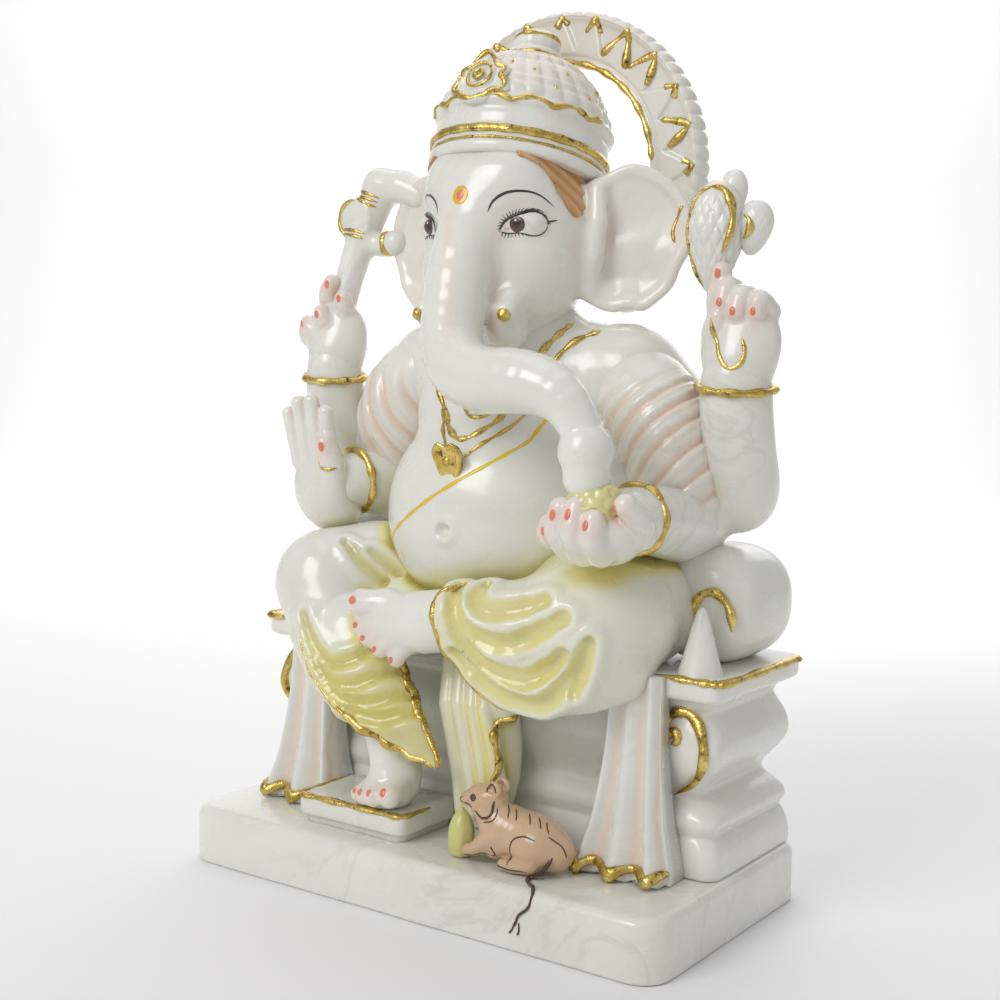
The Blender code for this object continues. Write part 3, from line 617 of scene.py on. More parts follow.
for side, sign in SIDES:
    low, high = cad_box(f"{side}_scroll")
    x_mid, z_mid = (low[0] + high[0]) / 2, (low[2] + high[2]) / 2
    line = bend(
        (
            (-4.6, 2.6), (-2.6, 4.2), (-4.0, 6.6), (-7.0, 5.2), (-7.4, 9.2), (-4.6, 12.4), (-0.2, 12.6),
            (4.2, 8.6), (6.6, 2.0), (5.6, -4.6), (1.4, -10.2), (-5.4, -14.6),
        ),
        90,
    )
    thick = swell(90, (0, 0.12, 0.4, 0.62, 0.85, 1), (2.0, 3.2, 3.2, 4.0, 2.6, 0.8))
    share = np.clip((z_mid + line[:, 1] - throne_low[2]) / (throne_high[2] - throne_low[2]), 0, 1)
    y = throne_low[1] + FRONT_SHARE * np.interp(share, profile[:, 0], profile[:, 1]) - 0.2
    path = np.stack([x_mid + sign * line[:, 0], y, z_mid + line[:, 1] - 0.5], -1)
    gilding(
        f"{side}_scroll_gilding", bead(path, (0, -1, 0), thick, 1.5, sides=10, taper=0.05), f"{side}_scroll",
    )


# ----------------------------------------------------------------------------------------------- Footstool
# A low stone step under the right foot, with a gilded line round its upper edge.

low, high = cad_box("footstool")
stool = np.stack(
    [
        rounded_outline(
            (low[0] + high[0]) / 2, (high[0] - low[0]) / 2 - inset, low[1] + inset, high[1], 3.2, z,
        )
        for z, inset in [(low[2] - 0.4, 2.0), (low[2] + 0.6, 2.2), *edge_steps(low[2] + 2.2, high[2], 1.6, 0.9)]
    ],
)
marble("footstool_stone", skin(worn(stool, 0.2, 17)), "footstool")
edge = rounded_outline(
    (low[0] + high[0]) / 2, (high[0] - low[0]) / 2 - 0.5, low[1] + 0.5, high[1] - 0.5, 3.2, high[2] - 0.5,
)
FRONT_RUN = slice(28, 90)
gilding("footstool_gilding", bead(edge[FRONT_RUN], (0, -0.5, 1), 2.6, 0.8, wobble=0.2))


# --------------------------------------------------------------------------------------------------- Torso
# The round belly, chest, shoulders and neck, carved as one swelling form and polished. The rounded forms from
# here on are distance fields: each says how far a point is outside the stone, and where it is zero is the
# skin.

VOXEL = 0.85


def egg(p, centre, radii):
    """An ellipsoid whose centre is given above the seat: with q the point in radii, k = |q| and g = |q /
    radii|, the distance is k (k - 1) / g."""
    q = (p - seated(*centre).astype(np.float32)) / np.asarray(radii, np.float32)
    k = np.sqrt((q * q).sum(-1)) + 1e-6
    g = q / np.asarray(radii, np.float32)
    return k * (k - 1) / (np.sqrt((g * g).sum(-1)) + 1e-9)


def melt(a, b, k):
    """Two forms flowing into each other: the lesser distance, less a fillet of h squared / 4k, h = k - |a -
    b|."""
    h = np.maximum(k - np.abs(a - b), 0)
    return np.minimum(a, b) - h * h / (4 * k)


def pare(a, b, k):
    """Form a with form b cut away, the edge eased over k."""
    return -melt(-a, b, k)


def rod(p, stations, k=0.0):
    """A limb through stations (x, y, z, radius): for each stretch, the distance to its axis less the radius
    there, and the least of those, or their melt."""
    stations = np.asarray(stations, np.float32)
    nearest = None
    for (*a, ra), (*b, rb) in zip(stations[:-1], stations[1:]):
        a, b = np.array(a, np.float32), np.array(b, np.float32)
        axis = b - a
        h = np.clip(((p - a) @ axis) / max(float(axis @ axis), 1e-9), 0, 1)
        off = p - a - h[..., None] * axis
        d = np.sqrt((off * off).sum(-1)) - (ra + h * (rb - ra))
        nearest = d if nearest is None else (melt(nearest, d, k) if k else np.minimum(nearest, d))
    return nearest


def limb(p, stations, k=0.0, smooth=0):
    """A rod through stations given above the seat, first bent through a number of points where one is
    given."""
    line = seated_line(stations)
    return rod(p, bend(line, smooth) if smooth else line, k)


def slope(form, p, e=0.15):
    """Outward direction of a form at points, from four samples at the corners of a tetrahedron."""
    total = np.zeros_like(p)
    for corner in ((1, -1, -1), (-1, -1, 1), (-1, 1, -1), (1, 1, 1)):
        corner = np.array(corner, p.dtype)
        total += corner * form(p + e * corner)[..., None]
    return total / (np.linalg.norm(total, axis=-1, keepdims=True) + 1e-9)


LAYING_STEPS, LONGEST_STEP = 7, 6


def laid(form, p, lift=0.0):
    """Points moved onto the nearest skin of a form, and its outward direction there."""
    p = np.asarray(p, np.float32)
    for _ in range(LAYING_STEPS):
        n = slope(form, p)
        p = p - np.clip(form(p), -LONGEST_STEP, LONGEST_STEP)[..., None] * n
    n = slope(form, p)
    return p + lift * n, n


BATCH = 60_000
HALF_DIAGONAL, SLACK = 0.87, 1.25


def carve(form, low, high, step=None):
    """Surface nets. The form is sampled on a grid in blocks of eight, four, two and then one, going on only
    where the skin is near. Each cell that the skin crosses gets one point, the mean of its edge crossings,
    and each grid edge that the skin crosses joins the points of the four cells round it. The points are then
    drawn onto the skin itself."""
    step = step or VOXEL
    low = np.asarray(low, float) - 2 * step
    shape = np.ceil((np.asarray(high, float) + 2 * step - low) / step / 8).astype(int) * 8
    values = np.full(shape, 9.0, np.float32)
    cells = np.stack(np.meshgrid(*[np.arange(n // 8) for n in shape], indexing="ij"), -1).reshape(-1, 3)
    for size in (8, 4, 2, 1):
        distance = np.concatenate(
            [
                form((low + step * (size * cells[n : n + BATCH] + (size - 1) / 2)).astype(np.float32))
                for n in range(0, len(cells), BATCH)
            ],
        )
        if size == 1:
            values[cells[:, 0], cells[:, 1], cells[:, 2]] = distance
            break
        for n in np.ndindex(size, size, size) if size == 8 else ():
            values[n[0] :: 8, n[1] :: 8, n[2] :: 8] = distance.reshape(shape // 8)
        if size < 8:
            for n in np.ndindex(size, size, size):
                values[
                    cells[:, 0] * size + n[0], cells[:, 1] * size + n[1], cells[:, 2] * size + n[2],
                ] = distance
        cells = cells[np.abs(distance) < step * (HALF_DIAGONAL * size * SLACK + 1)]
        cells = (2 * cells[:, None] + np.array(list(np.ndindex(2, 2, 2)))).reshape(-1, 3)
    for face in (0, -1):
        values[face], values[:, face], values[:, :, face] = 9, 9, 9
    inside = values < 0
    corner = [
        inside[a : a - 1 or None, b : b - 1 or None, c : c - 1 or None]
        for a in (0, 1) for b in (0, 1) for c in (0, 1)
    ]
    held = sum(c.astype(np.int8) for c in corner)
    ci, cj, ck = np.nonzero((held > 0) & (held < 8))
    number = np.full(np.array(values.shape) - 1, -1, np.int32)
    number[ci, cj, ck] = np.arange(len(ci))
    total, crossings = np.zeros((len(ci), 3)), np.zeros(len(ci))
    for axis in range(3):
        others = [n for n in range(3) if n != axis]
        for first in (0, 1):
            for second in (0, 1):
                start = [0, 0, 0]
                start[others[0]], start[others[1]] = first, second
                end = list(start)
                end[axis] = 1
                va = values[ci + start[0], cj + start[1], ck + start[2]]
                vb = values[ci + end[0], cj + end[1], ck + end[2]]
                crossed = (va < 0) != (vb < 0)
                share = np.where(crossed, va / np.where(crossed, va - vb, 1), 0)
                spot = np.tile(np.array(start, float), (len(ci), 1))
                spot[:, axis] += share
                total += spot * crossed[:, None]
                crossings += crossed
    points = low + step * (np.stack([ci, cj, ck], -1) + total / crossings[:, None])
    quads = []
    for axis in range(3):
        b, c = [n for n in range(3) if n != axis]
        lower = [slice(1, -1)] * 3
        lower[axis] = slice(0, -1)
        upper = list(lower)
        upper[axis] = slice(1, None)
        one, two = inside[tuple(lower)], inside[tuple(upper)]
        i, j, k = np.nonzero(one != two)
        base = np.stack([i, j, k], -1)
        base[:, b] += 1
        base[:, c] += 1
        ring = []
        for db, dc in ((0, 0), (-1, 0), (-1, -1), (0, -1)):
            cell = base.copy()
            cell[:, b] += db
            cell[:, c] += dc
            ring.append(number[cell[:, 0], cell[:, 1], cell[:, 2]])
        ring = np.stack(ring, -1)
        outward = one[i, j, k] ^ (axis == 1)
        quads.append(np.where(outward[:, None], ring, ring[:, ::-1]))
    quads = np.vstack(quads)
    points = points.astype(np.float32)
    for _ in range(2):
        points = points - np.clip(form(points), -0.5 * step, 0.5 * step)[:, None] * slope(form, points)
    return points, quads.tolist()


def torso_form(p):
    """Belly, chest, shoulders and neck melted together, with a navel pressed in."""
    belly = egg(p, (0, 4.2, 43.5), (41.5, 36.8, 39))
    chest = egg(p, (0, 14, 78), (38, 21, 27))
    form = melt(belly, chest, 13)
    for sign in (1, -1):
        form = melt(form, egg(p, (sign * 15.5, -1.5, 80), (15.5, 9, 12)), 8)
        form = melt(form, limb(p, ((sign * 14, 15, 94, 17), (sign * 38, 18, 92, 16))), 9)
    form = melt(form, limb(p, ((0, 14, 92, 21), (0, 9, 114, 18.5))), 10)
    pit = egg(p, (1.1, -33.4, 40.2), (2.6, 3.2, 2.2))
    rim = egg(p, (1.1, -31.0, 40.2), (4.8, 2.5, 4.2))
    return pare(melt(form, rim, 3), pit, 2.2)


# --------------------------------------------------------------------------------------------- Legs, dhoti
# Both legs under a wrapped dhoti. The right one hangs to the footstool and its cloth ends in a point; the
# left one is folded across and its cloth hangs in a swag. Folds are ridges and hollows cut along lines on the
# cloth.


RIGHT_FOLDS = (
    ((-50, -42, 8), (-44, -46, -0.5), (-36, -46, -6), (-29, -40, -6.2), (-25, -32, -3)),
    ((-42, -46, -5.5), (-36, -47.5, -11), (-27, -44, -13.2), (-21, -38, -11.5), (-14, -33, -8)),
    ((-35, -47.5, -13.5), (-28, -47, -17.5), (-19, -43, -18.2), (-12, -38, -16), (-4, -36, -12)),
    ((-28, -47.5, -19.5), (-20, -45.5, -22), (-12, -41, -22), (-4, -38, -19)),
    ((-46, -25, 31), (-39, -24.3, 25.1), (-33, -22, 20), (-28, -18, 14)),
    ((-33, -28, 33), (-28, -25, 27), (-24, -22, 21)),
)
LEFT_FOLDS = (
    ((23.5, -38, 23.5), (22.8, -42, 20.8), (27.6, -44.7, 18.4), (36, -43.7, 19.3), (46, -38.8, 22)),
    (
        (14.5, -39.5, 22.6), (15.6, -44.2, 18), (20.1, -46.3, 12.6), (27.5, -46.5, 9.2), (37, -45, 9.2),
        (46, -42, 13.5), (53, -39, 18),
    ),
    (
        (15.9, -46.7, 16.6), (19.8, -45.7, 8.6), (25.4, -43.5, 1.2), (33.1, -43.4, -1.8), (41, -42.8, -2.2),
        (47, -40.8, 1.2), (53, -38.5, 8),
    ),
    (
        (16.5, -42.8, 5), (24.5, -43.9, -4), (33.8, -43, -8.6), (43, -41, -9.8), (50, -39, -6),
        (55, -36.5, 1),
    ),
    ((60, -36, 12), (57.6, -37, 4), (55, -36.5, -4)),
)


def right_leg_cloth(p):
    """Thigh, knee and shin, and the cloth that fans from the shin to a point at the hem."""
    form = limb(p, ((-24, 9, 19, 18), (-45, -8, 19.5, 18.2), (-58, -20, 16.6, 17.6)))
    shin = limb(
        p, ((-58, -20, 15, 17.4), (-50, -27, 3, 15.4), (-40.5, -33.4, -10, 12.2), (-31, -37, -19, 8.4)),
    )
    form = melt(form, shin, 5)
    for x, y, z, r in (
        (-30, -41, -20, 5), (-22, -41, -25.2, 4.4), (-13, -39, -29.4, 3.8), (-4, -38, -32.4, 3.0),
        (4.6, -38, -35, 2.0),
    ):
        form = melt(
            form, limb(p, ((-38, -28, 0, 12), (0.5 * (x - 38) + 1, y + 4, 0.5 * z - 3, 8.5), (x, y, z, r))),
            4,
        )
    return form


def left_leg_cloth(p):
    """Thigh, knee and folded shin, and the swag of cloth that hangs from the ankle round under the knee."""
    form = limb(p, ((25, 10, 20, 18.5), (40, -6, 18, 20), (50, -19, 13.5, 22)))
    form = melt(form, limb(p, ((46, 18, 20, 20), (56, 2, 17, 19), (56, -8, 16, 19))), 8)
    form = melt(form, limb(p, ((50, -19, 13, 19.5), (33, -31, 12.8, 14.6), (12, -36.2, 13.2, 11.2))), 6)
    swag = limb(
        p,
        (
            (60, -18, 0, 11), (54, -27, -3, 10), (44, -32.5, -5.5, 9.2), (33, -34.5, -4.5, 8.6),
            (24, -35.5, 0, 8.4), (17, -36, 7, 7.6),
        ),
    )
    return pare(melt(form, swag, 4), p[..., 0] - 8.8, 1.6)


FOLD_POINTS = 10


def with_folds(form, folds, depth, width, keep=0.35):
    """The form with its folds cut, and swollen a little between them, and how near a point is to a fold."""
    lines = []
    for line in folds:
        path, _ = laid(form, bend(seated_line(line), FOLD_POINTS))
        lines.append((path, np.sin(np.linspace(0.35, math.pi - 0.3, FOLD_POINTS)) ** 0.5))

    def nearness(p):
        """Distance to the nearest fold line, which counts for less towards the line's ends."""
        least = np.full(p.shape[:-1], 60, np.float32)
        for path, size in lines:
            for a, b, s in zip(path[:-1], path[1:], size):
                axis = b - a
                h = np.clip(((p - a) @ axis) / float(axis @ axis + 1e-9), 0, 1)
                off = p - a - h[..., None] * axis
                least = np.minimum(least, np.sqrt((off * off).sum(-1)) + (1 - s) * width * 1.5)
        return least

    def folded(p):
        """The form, less a ridge beside each fold and with a bell-shaped hollow along it."""
        near = nearness(p)
        ridge = keep * depth * np.exp(-(((near - 2.3 * width) / (1.1 * width)) ** 2))
        return form(p) + depth * np.exp(-((near / width) ** 2)) - ridge

    return folded, nearness


right_cloth, right_folds_near = with_folds(right_leg_cloth, RIGHT_FOLDS, 2.3, 1.9, 0.45)
left_cloth, left_folds_near = with_folds(left_leg_cloth, LEFT_FOLDS, 3.4, 2.3, 0.5)


def belt_form(p):
    """The dhoti's upper edge, rolled under the belly."""
    return limb(
        p,
        (
            (-36, 2, 13, 8), (-24, -17, 10.5, 9), (-8, -25, 9, 8.4), (8, -25, 9, 8.4), (24, -17, 10.5, 9),
            (36, 2, 13, 8),
        ),
        3,
    )


def right_dhoti_form(p):
    """The right leg's folded cloth with the dhoti's upper edge melted on."""
    return melt(right_cloth(p), belt_form(p), 5)


right_leg = piece(
    "right_dhoti_stone", carve(right_dhoti_form, seated(-86, -56, -40), seated(42, 30, 44)), WHITE_MARBLE,
    ["right_leg"],
)
left_leg = piece(
    "left_dhoti_stone", carve(left_cloth, seated(4, -56, -20), seated(84, 42, 46)), WHITE_MARBLE,
    ["left_leg", "left_leg_drape"],
)


# ---------------------------------------------------------------------------------------------------- Feet
# Bare feet with rounded toes. The left one lies sole inwards across the right shin, and the right one stands
# on the footstool. Nails are painted later.

LEFT_TOES = (
    ((-14, -40.5, 15.6), (-23, -43, 14.8), 4.9), ((-14.6, -42, 9.6), (-22.4, -43.5, 7.4), 3.6),
    ((-12.6, -42.5, 6.6), (-19.2, -43.8, 3.8), 3.3), ((-9.6, -42, 4.2), (-14.8, -43.4, 0.6), 3.1),
    ((-5.6, -41, 2.4), (-8.6, -43, -1.8), 2.9),
)


def left_foot_form(p):
    """Heel, arch and ball as one tapering slab, and five toes fanned down from the big one."""
    form = limb(p, ((17, -36, 13.2, 7.4), (6, -38, 13, 9.0), (-4, -39, 12, 8.4), (-12, -40, 11.4, 7.2)))
    form = melt(form, limb(p, ((13, -36, 11, 6.8), (0, -39.2, 7.6, 6.8), (-8, -40.2, 5.6, 5.4))), 6)
    for near, far, r in LEFT_TOES:
        middle = (0.5 * (near[0] + far[0]), 0.5 * (near[1] + far[1]) - 0.8, 0.5 * (near[2] + far[2]))
        form = melt(form, limb(p, ((*near, r * 1.02), (*middle, r * 0.92), (*far, r))), 1.6)
    return form


RIGHT_TOES = (
    ((-12.6, -36, -47), (-11.4, -41.8, -48.6), 4.0), ((-16.6, -37.5, -47.6), (-16.8, -43.4, -49.4), 3.3),
    ((-20, -37.5, -48), (-21, -42.8, -49.8), 3.1), ((-23, -36.5, -48.6), (-24.6, -41.2, -50.4), 2.9),
    ((-25.4, -34.5, -49.2), (-27.4, -38.4, -51), 2.6),
)


def right_foot_form(p):
    """Ankle, instep and ball, and five toes along the front."""
    form = limb(p, ((-20, -33, -28, 8), (-17.5, -31, -42, 7.8), (-17, -31, -48.5, 7.2)))
    form = melt(
        form, limb(p, ((-16.6, -31, -44, 7.2), (-17, -35, -46.6, 6.6), (-18, -38.4, -48.6, 5.2))), 5,
    )
    form = melt(form, egg(p, (-18.6, -36, -49.6), (9.6, 7, 5)), 3)
    for near, far, r in RIGHT_TOES:
        form = melt(form, limb(p, ((*near, r * 1.05), (*far, r))), 1.4)
    return np.maximum(form, -(p[..., 2] - (SEAT - 54.1)))


FOOT_VOXEL = 0.6
left_foot = marble(
    "left_foot_stone", carve(left_foot_form, seated(-32, -54, -14), seated(28, -24, 26), FOOT_VOXEL),
    "left_foot",
)
right_foot = marble(
    "right_foot_stone", carve(right_foot_form, seated(-34, -54, -56), seated(-6, -20, -18), FOOT_VOXEL),
    "right_foot",
)


# ------------------------------------------------------------------------------------------- Dhoti gilding
# The dhoti's borders: the pointed hem and front edge of the right leg, and the ankle of the left one, which
# runs on as a thin line along the swag.


def gilded(form, line, width, height, count=60, lift=-0.1, **more):
    """A bead of leaf along a line that is first laid on a form."""
    path, outward = laid(form, bend(seated_line(line), count), lift)
    return bead(path, outward, width, height, **more)


hem = gilded(
    right_dhoti_form,
    (
        (-29.5, -48, -20), (-25, -47.8, -24), (-20, -46.5, -28), (-13, -43, -31.4), (-5, -40.6, -34),
        (4.4, -39.6, -37),
    ),
    swell(60, (0, 0.2, 0.45, 0.8, 1), (1.0, 2.6, 4.2, 3.2, 2.0)), 1.1, taper=0.04,
)
front = gilded(
    right_dhoti_form,
    ((-7, -36, -4), (-3, -35.6, -11), (0.6, -36.4, -19), (4, -37.6, -28), (6.6, -39.4, -37.6)),
    swell(60, (0, 0.3, 0.7, 1), (3.0, 3.4, 2.6, 1.8)), 1.0, taper=0.05,
)
seam = gilded(
    right_dhoti_form,
    (
        (-50, -44, 0), (-47.6, -45, -5), (-44, -46, -9.6), (-40.4, -46.5, -13.6), (-35, -47, -17.8),
        (-29.6, -47.6, -21.4),
    ),
    0.9, 0.45,
)
gilding("dhoti_hem_gilding", gathered([hem, front, seam]), "dhoti_hem")
cuff = gilded(
    lambda p: np.minimum(left_cloth(p), left_foot_form(p)),
    (
        (17.5, -37, 23.4), (13.6, -39.8, 22.6), (10.8, -43, 19.6), (10.2, -45.6, 14), (10.8, -45.6, 9),
        (12, -43, 4.4), (15, -41.5, -0.6), (19.4, -41, -6), (25.6, -40.6, -11), (33, -40, -14.4),
    ),
    swell(60, (0, 0.15, 0.35, 0.55, 1), (1.0, 1.8, 2.6, 1.2, 0.6)), 0.8, wobble=0.15,
)
gilding("ankle_gilding", cuff, "ankle_cuff")


# ---------------------------------------------------------------------------------------------------- Sash
# The loose end of the dhoti hangs between the legs to the plinth, in soft upright flutes. Its outer corner is
# stepped and gilded.


def sash_form(p):
    """Flutes: upright rods side by side that spread towards the foot, melted together in front of the
    throne."""
    form = egg(p, (5, -12, -10), (9, 9, 16))
    for top, foot, r in ((-2.5, 6.2, 3.0), (2.4, 11.6, 3.2), (7.4, 17.0, 3.0), (12, 21.8, 2.6)):
        stations = (
            (top, -20.4, -2, r), (top + 0.35 * (foot - top), -26.6, -18, r), (foot, -26.2, -42, r),
            (foot + 0.6, -25, -53, r),
        )
        form = melt(form, limb(p, stations), 0.9)
    back = egg(p, (11, -16, -34), (11.5, 8, 27))
    return melt(
        melt(form, back, 5),
        pare(egg(p, (18.5, -21, -10), (9, 6.4, 14)), p[..., 2] - seated(0, 0, -21.5)[2], 1.5), 2,
    )


sash = piece(
    "sash_stone", carve(sash_form, seated(-14, -34, -58), seated(34, -4, 8)), WHITE_MARBLE,
    ["sash"],
)
zigzag = gilded(
    sash_form,
    (
        (28, -21, -20.2), (25, -24, -21.6), (21, -26.4, -23.6), (19.6, -27.4, -26), (21.6, -27.6, -30),
        (22.6, -27.4, -34), (21.4, -27.8, -38.6), (20.4, -28, -42),
    ),
    2.6, 1.2, wobble=0.25,
)
gilding("sash_gilding", zigzag)


# ----------------------------------------------------------------------------------------- Arms, shoulders
# Four arms. The back pair come down from the shoulders and turn up at the elbows, and the front pair reach
# forward. They are one with the body: the stone was never cut between them.

BACK_ARMS = (
    (
        (42, 19, 91, 15.6), (53, 24, 78, 15.2), (65, 27.5, 62, 14), (75, 28.5, 54, 12.8),
        (79.5, 24, 58, 12), (81.5, 18, 68, 11.2), (82, 13.5, 80, 11.2), (82, 12, 92, 10.8),
    ),
    (
        (-42, 19, 91, 15.4), (-54, 24, 76, 14), (-64, 28, 60, 12.8), (-69, 28.5, 54, 12.3),
        (-74, 23, 58, 11.6), (-78, 15, 69, 10.6), (-80, 8.5, 81, 10.2), (-80, 7, 92, 9.8),
    ),
)
FRONT_ARMS = (
    (
        (50, 20, 76, 13), (63, 22, 50, 12.6), (64.5, 14, 44, 12.6), (65.5, -2, 46, 11.2),
        (67, -22, 48.5, 9.6), (66, -30, 48, 9.2),
    ),
    (
        (-48, 22, 78, 13), (-55, 25, 53, 13.4), (-57.5, 10, 50, 12.4), (-61, -1, 51, 9.8),
        (-65.5, -8, 48, 8.6),
    ),
)


def arms_form(p, arms):
    """A pair of arms, each one smooth limb."""
    form = None
    for stations in arms:
        arm = limb(p, stations, 1.5, 3 * len(stations))
        form = arm if form is None else np.minimum(form, arm)
    return form


def body_form(p):
    """The torso with its four arms melted in."""
    form = melt(torso_form(p), arms_form(p, BACK_ARMS), 7)
    form = melt(form, egg(p, (41.7, 8, 56.6), (12, 12, 18)), 8)
    return melt(form, arms_form(p, FRONT_ARMS), 3)


body = marble(
    "body_stone", carve(body_form, seated(-96, -40, -6), seated(98, 44, 122), VOXEL * 1.25), "torso",
    "left_back_arm", "right_back_arm", "left_front_arm", "right_front_arm",
)


# -------------------------------------------------------------------------------------------------- A shawl lies over each shoulder and upper arm to the elbow, in narrow folds with a peach tint between them.
# A shawl lies over each shoulder and upper arm to the elbow, in narrow folds with a peach wash between them.

SHAWL_MARGIN = 6
# (side, its sign, limb, direction across the folds, their pitch, height at which they begin)
SHAWLS = (
    (
        "left", 1,
        (
            (42, 15, 90, 13), (49, 14, 84, 15.6), (56, 12.5, 75, 16.2), (60, 13, 62, 15.6),
            (63, 16, 49, 14.2),
        ),
        (0.72, -0.12, -0.68), 5.8, 92,
    ),
    (
        "right", -1,
        (
            (-40, 14, 91, 13), (-47, 15, 86, 15.4), (-52, 13.5, 76, 15.6), (-55.5, 16, 64, 14.6),
            (-57, 19, 55, 13.8),
        ),
        (0.95, -0.25, 0.30), 7.6, 94,
    ),
)


def shawl_form(sign, stations, across, pitch, top):
    """Cloth over a limb: the limb's distance less broad ridges that run across the given direction, each
    with a lesser one on its flank, and that die away at the shoulder."""
    limb_line = bend(seated_line(stations), 14)
    across = np.array(across, np.float32)

    def ridge(p):
        """Height share of the cloth: |sin| waves that are bent a little, with lesser ones between them."""
        q = p - seated(sign * 50, 10, 72)
        warp = 0.9 * np.sin(q[..., 2] / 11 + 0.5) + 0.7 * np.sin(q[..., 1] / 8)
        run = math.pi * (q @ across) / pitch + warp
        return 0.72 * np.abs(np.sin(run)) ** 0.8 + 0.28 * np.abs(np.sin(1.9 * run + 0.8))

    def fade(p):
        """1 on the arm, falling to 0 over nine millimetres at the shoulder."""
        return np.clip((seated(0, 0, top)[2] - p[..., 2] + 0.35 * (sign * p[..., 0] - 50)) / 9, 0, 1)

    def cloth(p):
        """The limb, thickened by the ridges."""
        return rod(p, limb_line, 2) + 1.7 * (0.7 - ridge(p)) * fade(p)

    return cloth, ridge, fade


shawls = []
for side, sign, stations, across, pitch, top in SHAWLS:
    cloth, ridge, fade = shawl_form(sign, stations, across, pitch, top)
    box_low, box_high = cad_box(f"{side}_shawl")
    cloth_skin = carve(cloth, box_low - SHAWL_MARGIN, box_high + SHAWL_MARGIN, VOXEL * 0.9)
    shawl = piece(f"{side}_shawl_stone", cloth_skin, WHITE_MARBLE, [f"{side}_shawl"])
    shawls.append((shawl, ridge, fade))


# --------------------------------------------------------------------------------------------- Head, trunk
# The elephant's head: a high double brow, full cheeks, and a trunk that comes down between the tusks and
# swings over to the sweet in the left hand. The ears stand out behind the cheeks, thin, with a rolled rim.

TRUNK = (
    (0, -10, 150, 14.5), (0, -17, 139, 11.8), (1, -26, 126, 10.4), (3, -31.5, 112, 10.2),
    (6, -36.5, 101, 9.9), (12, -39.6, 93, 10.2), (22, -41, 89.6, 10.3), (34, -41.5, 89.6, 10),
    (44, -42, 88.4, 9.0), (52, -42.2, 84.4, 7.6), (57.2, -42.2, 78, 6.4), (59.4, -42.2, 73, 6.3),
    (60.2, -42.2, 70.6, 8.0), (60.4, -42.2, 69, 8.2), (60.6, -42.2, 67.4, 7.0), (61, -42.2, 62, 7.2),
)
EAR_RIM = (
    (-4, -17), (3, -22), (9, -23.6), (14, -22.4), (19, -23), (24, -19.6), (28.5, -15), (31, -8.5),
    (34.5, -2), (35, 5), (33, 12), (28, 18.5), (21, 23), (13, 24.8), (4, 20.6), (-4, 13),
)


def outline_distance(u, v, outline):
    """Signed distance in a plane to a closed outline, negative inside; inside is found by counting
    crossings."""
    least = np.full(u.shape, 9e9, np.float32)
    within = np.zeros(u.shape, bool)
    for (au, av), (bu, bv) in zip(outline, np.roll(outline, -1, 0)):
        eu, ev = bu - au, bv - av
        h = np.clip(((u - au) * eu + (v - av) * ev) / (eu * eu + ev * ev + 1e-9), 0, 1)
        least = np.minimum(least, (u - au - h * eu) ** 2 + (v - av - h * ev) ** 2)
        crossed = (av > v) != (bv > v)
        within ^= crossed & (u < au + (v - av) / np.where(abs(ev) < 1e-9, 1e-9, ev) * eu)
    least = np.sqrt(least)
    return np.where(within, -least, least)


rim_knots = np.array(EAR_RIM + EAR_RIM[:1])
ear_outline = bend(rim_knots, 41)[:-1]
EAR_LEAN = math.radians(18)


def ear_form(p, sign):
    """A thin dished plate with soft rays, and a rolled rim round it, both in the plane of the ear."""
    q = p - seated(sign * 28.2, 9, 136)
    u = sign * q[..., 0] * math.cos(EAR_LEAN) + q[..., 1] * math.sin(EAR_LEAN)
    v = q[..., 2]
    w = sign * q[..., 0] * math.sin(EAR_LEAN) - q[..., 1] * math.cos(EAR_LEAN)
    edge = outline_distance(u, v, ear_outline)
    rays = np.sin(8.5 * np.arctan2(v + 6, u + 10) + 0.6)
    depth = np.clip(-edge / 11, 0, 1)
    dish = 0.5 - 2.3 * depth + 1.3 * rays * depth * np.clip(1.3 - depth, 0, 1)
    plate = np.maximum(edge + 1.4, np.abs(w - dish) - 1.35)
    rim = np.sqrt((edge + 1.9) ** 2 + (w - 0.5) ** 2) - 1.9
    lobe = rod(
        p,
        [
            (*(seated(sign * 32, 7, 152)), 2.6), (*(seated(sign * 33, 6, 142)), 3.3),
            (*(seated(sign * 32, 6, 130)), 3.3), (*(seated(sign * 28.4, 9, 120)), 2.6),
        ],
    )
    return melt(melt(plate, rim, 2.2), lobe, 4)


def head_form(p):
    """Skull, cheeks and brow melted with the trunk; the eyes swell a little under the lids."""
    form = melt(egg(p, (0, 5, 143), (28.6, 28, 26.5)), egg(p, (0, 4, 122), (25, 21.5, 19)), 12)
    for sign in (1, -1):
        form = melt(form, egg(p, (sign * 9, -9.5, 154), (13.5, 13, 13)), 7)
        form = melt(form, egg(p, (sign * 13.5, -5, 126), (12.5, 13.5, 15.5)), 7)
        socket = limb(
            p, ((sign * 11, -10, 118, 6.4), (sign * 15, -17.6, 113.4, 5.0), (sign * 16.4, -21, 111.4, 4.1)),
        )
        form = melt(form, socket, 5)
    form = melt(form, limb(p, TRUNK, 0.6, smooth=32), 6)
    lip = melt(egg(p, (13, -15.6, 106), (6.4, 7.6, 7.2)), egg(p, (-13, -15.6, 106), (6.4, 7.6, 7.2)), 2)
    form = melt(form, lip, 4)
    form = melt(form, limb(p, ((0, 4, 118, 17), (0, 9, 102, 17))), 6)
    for sign in (1, -1):
        lid = egg(p, (sign * 17, -13.2, 140), (7.4, 5.2, 5.0))
        form = melt(form, lid, 2.2)
    return form


def head_and_ears(p):
    """The head with both ears melted on behind the cheeks."""
    return melt(head_form(p), np.minimum(ear_form(p, 1), ear_form(p, -1)), 3.5)


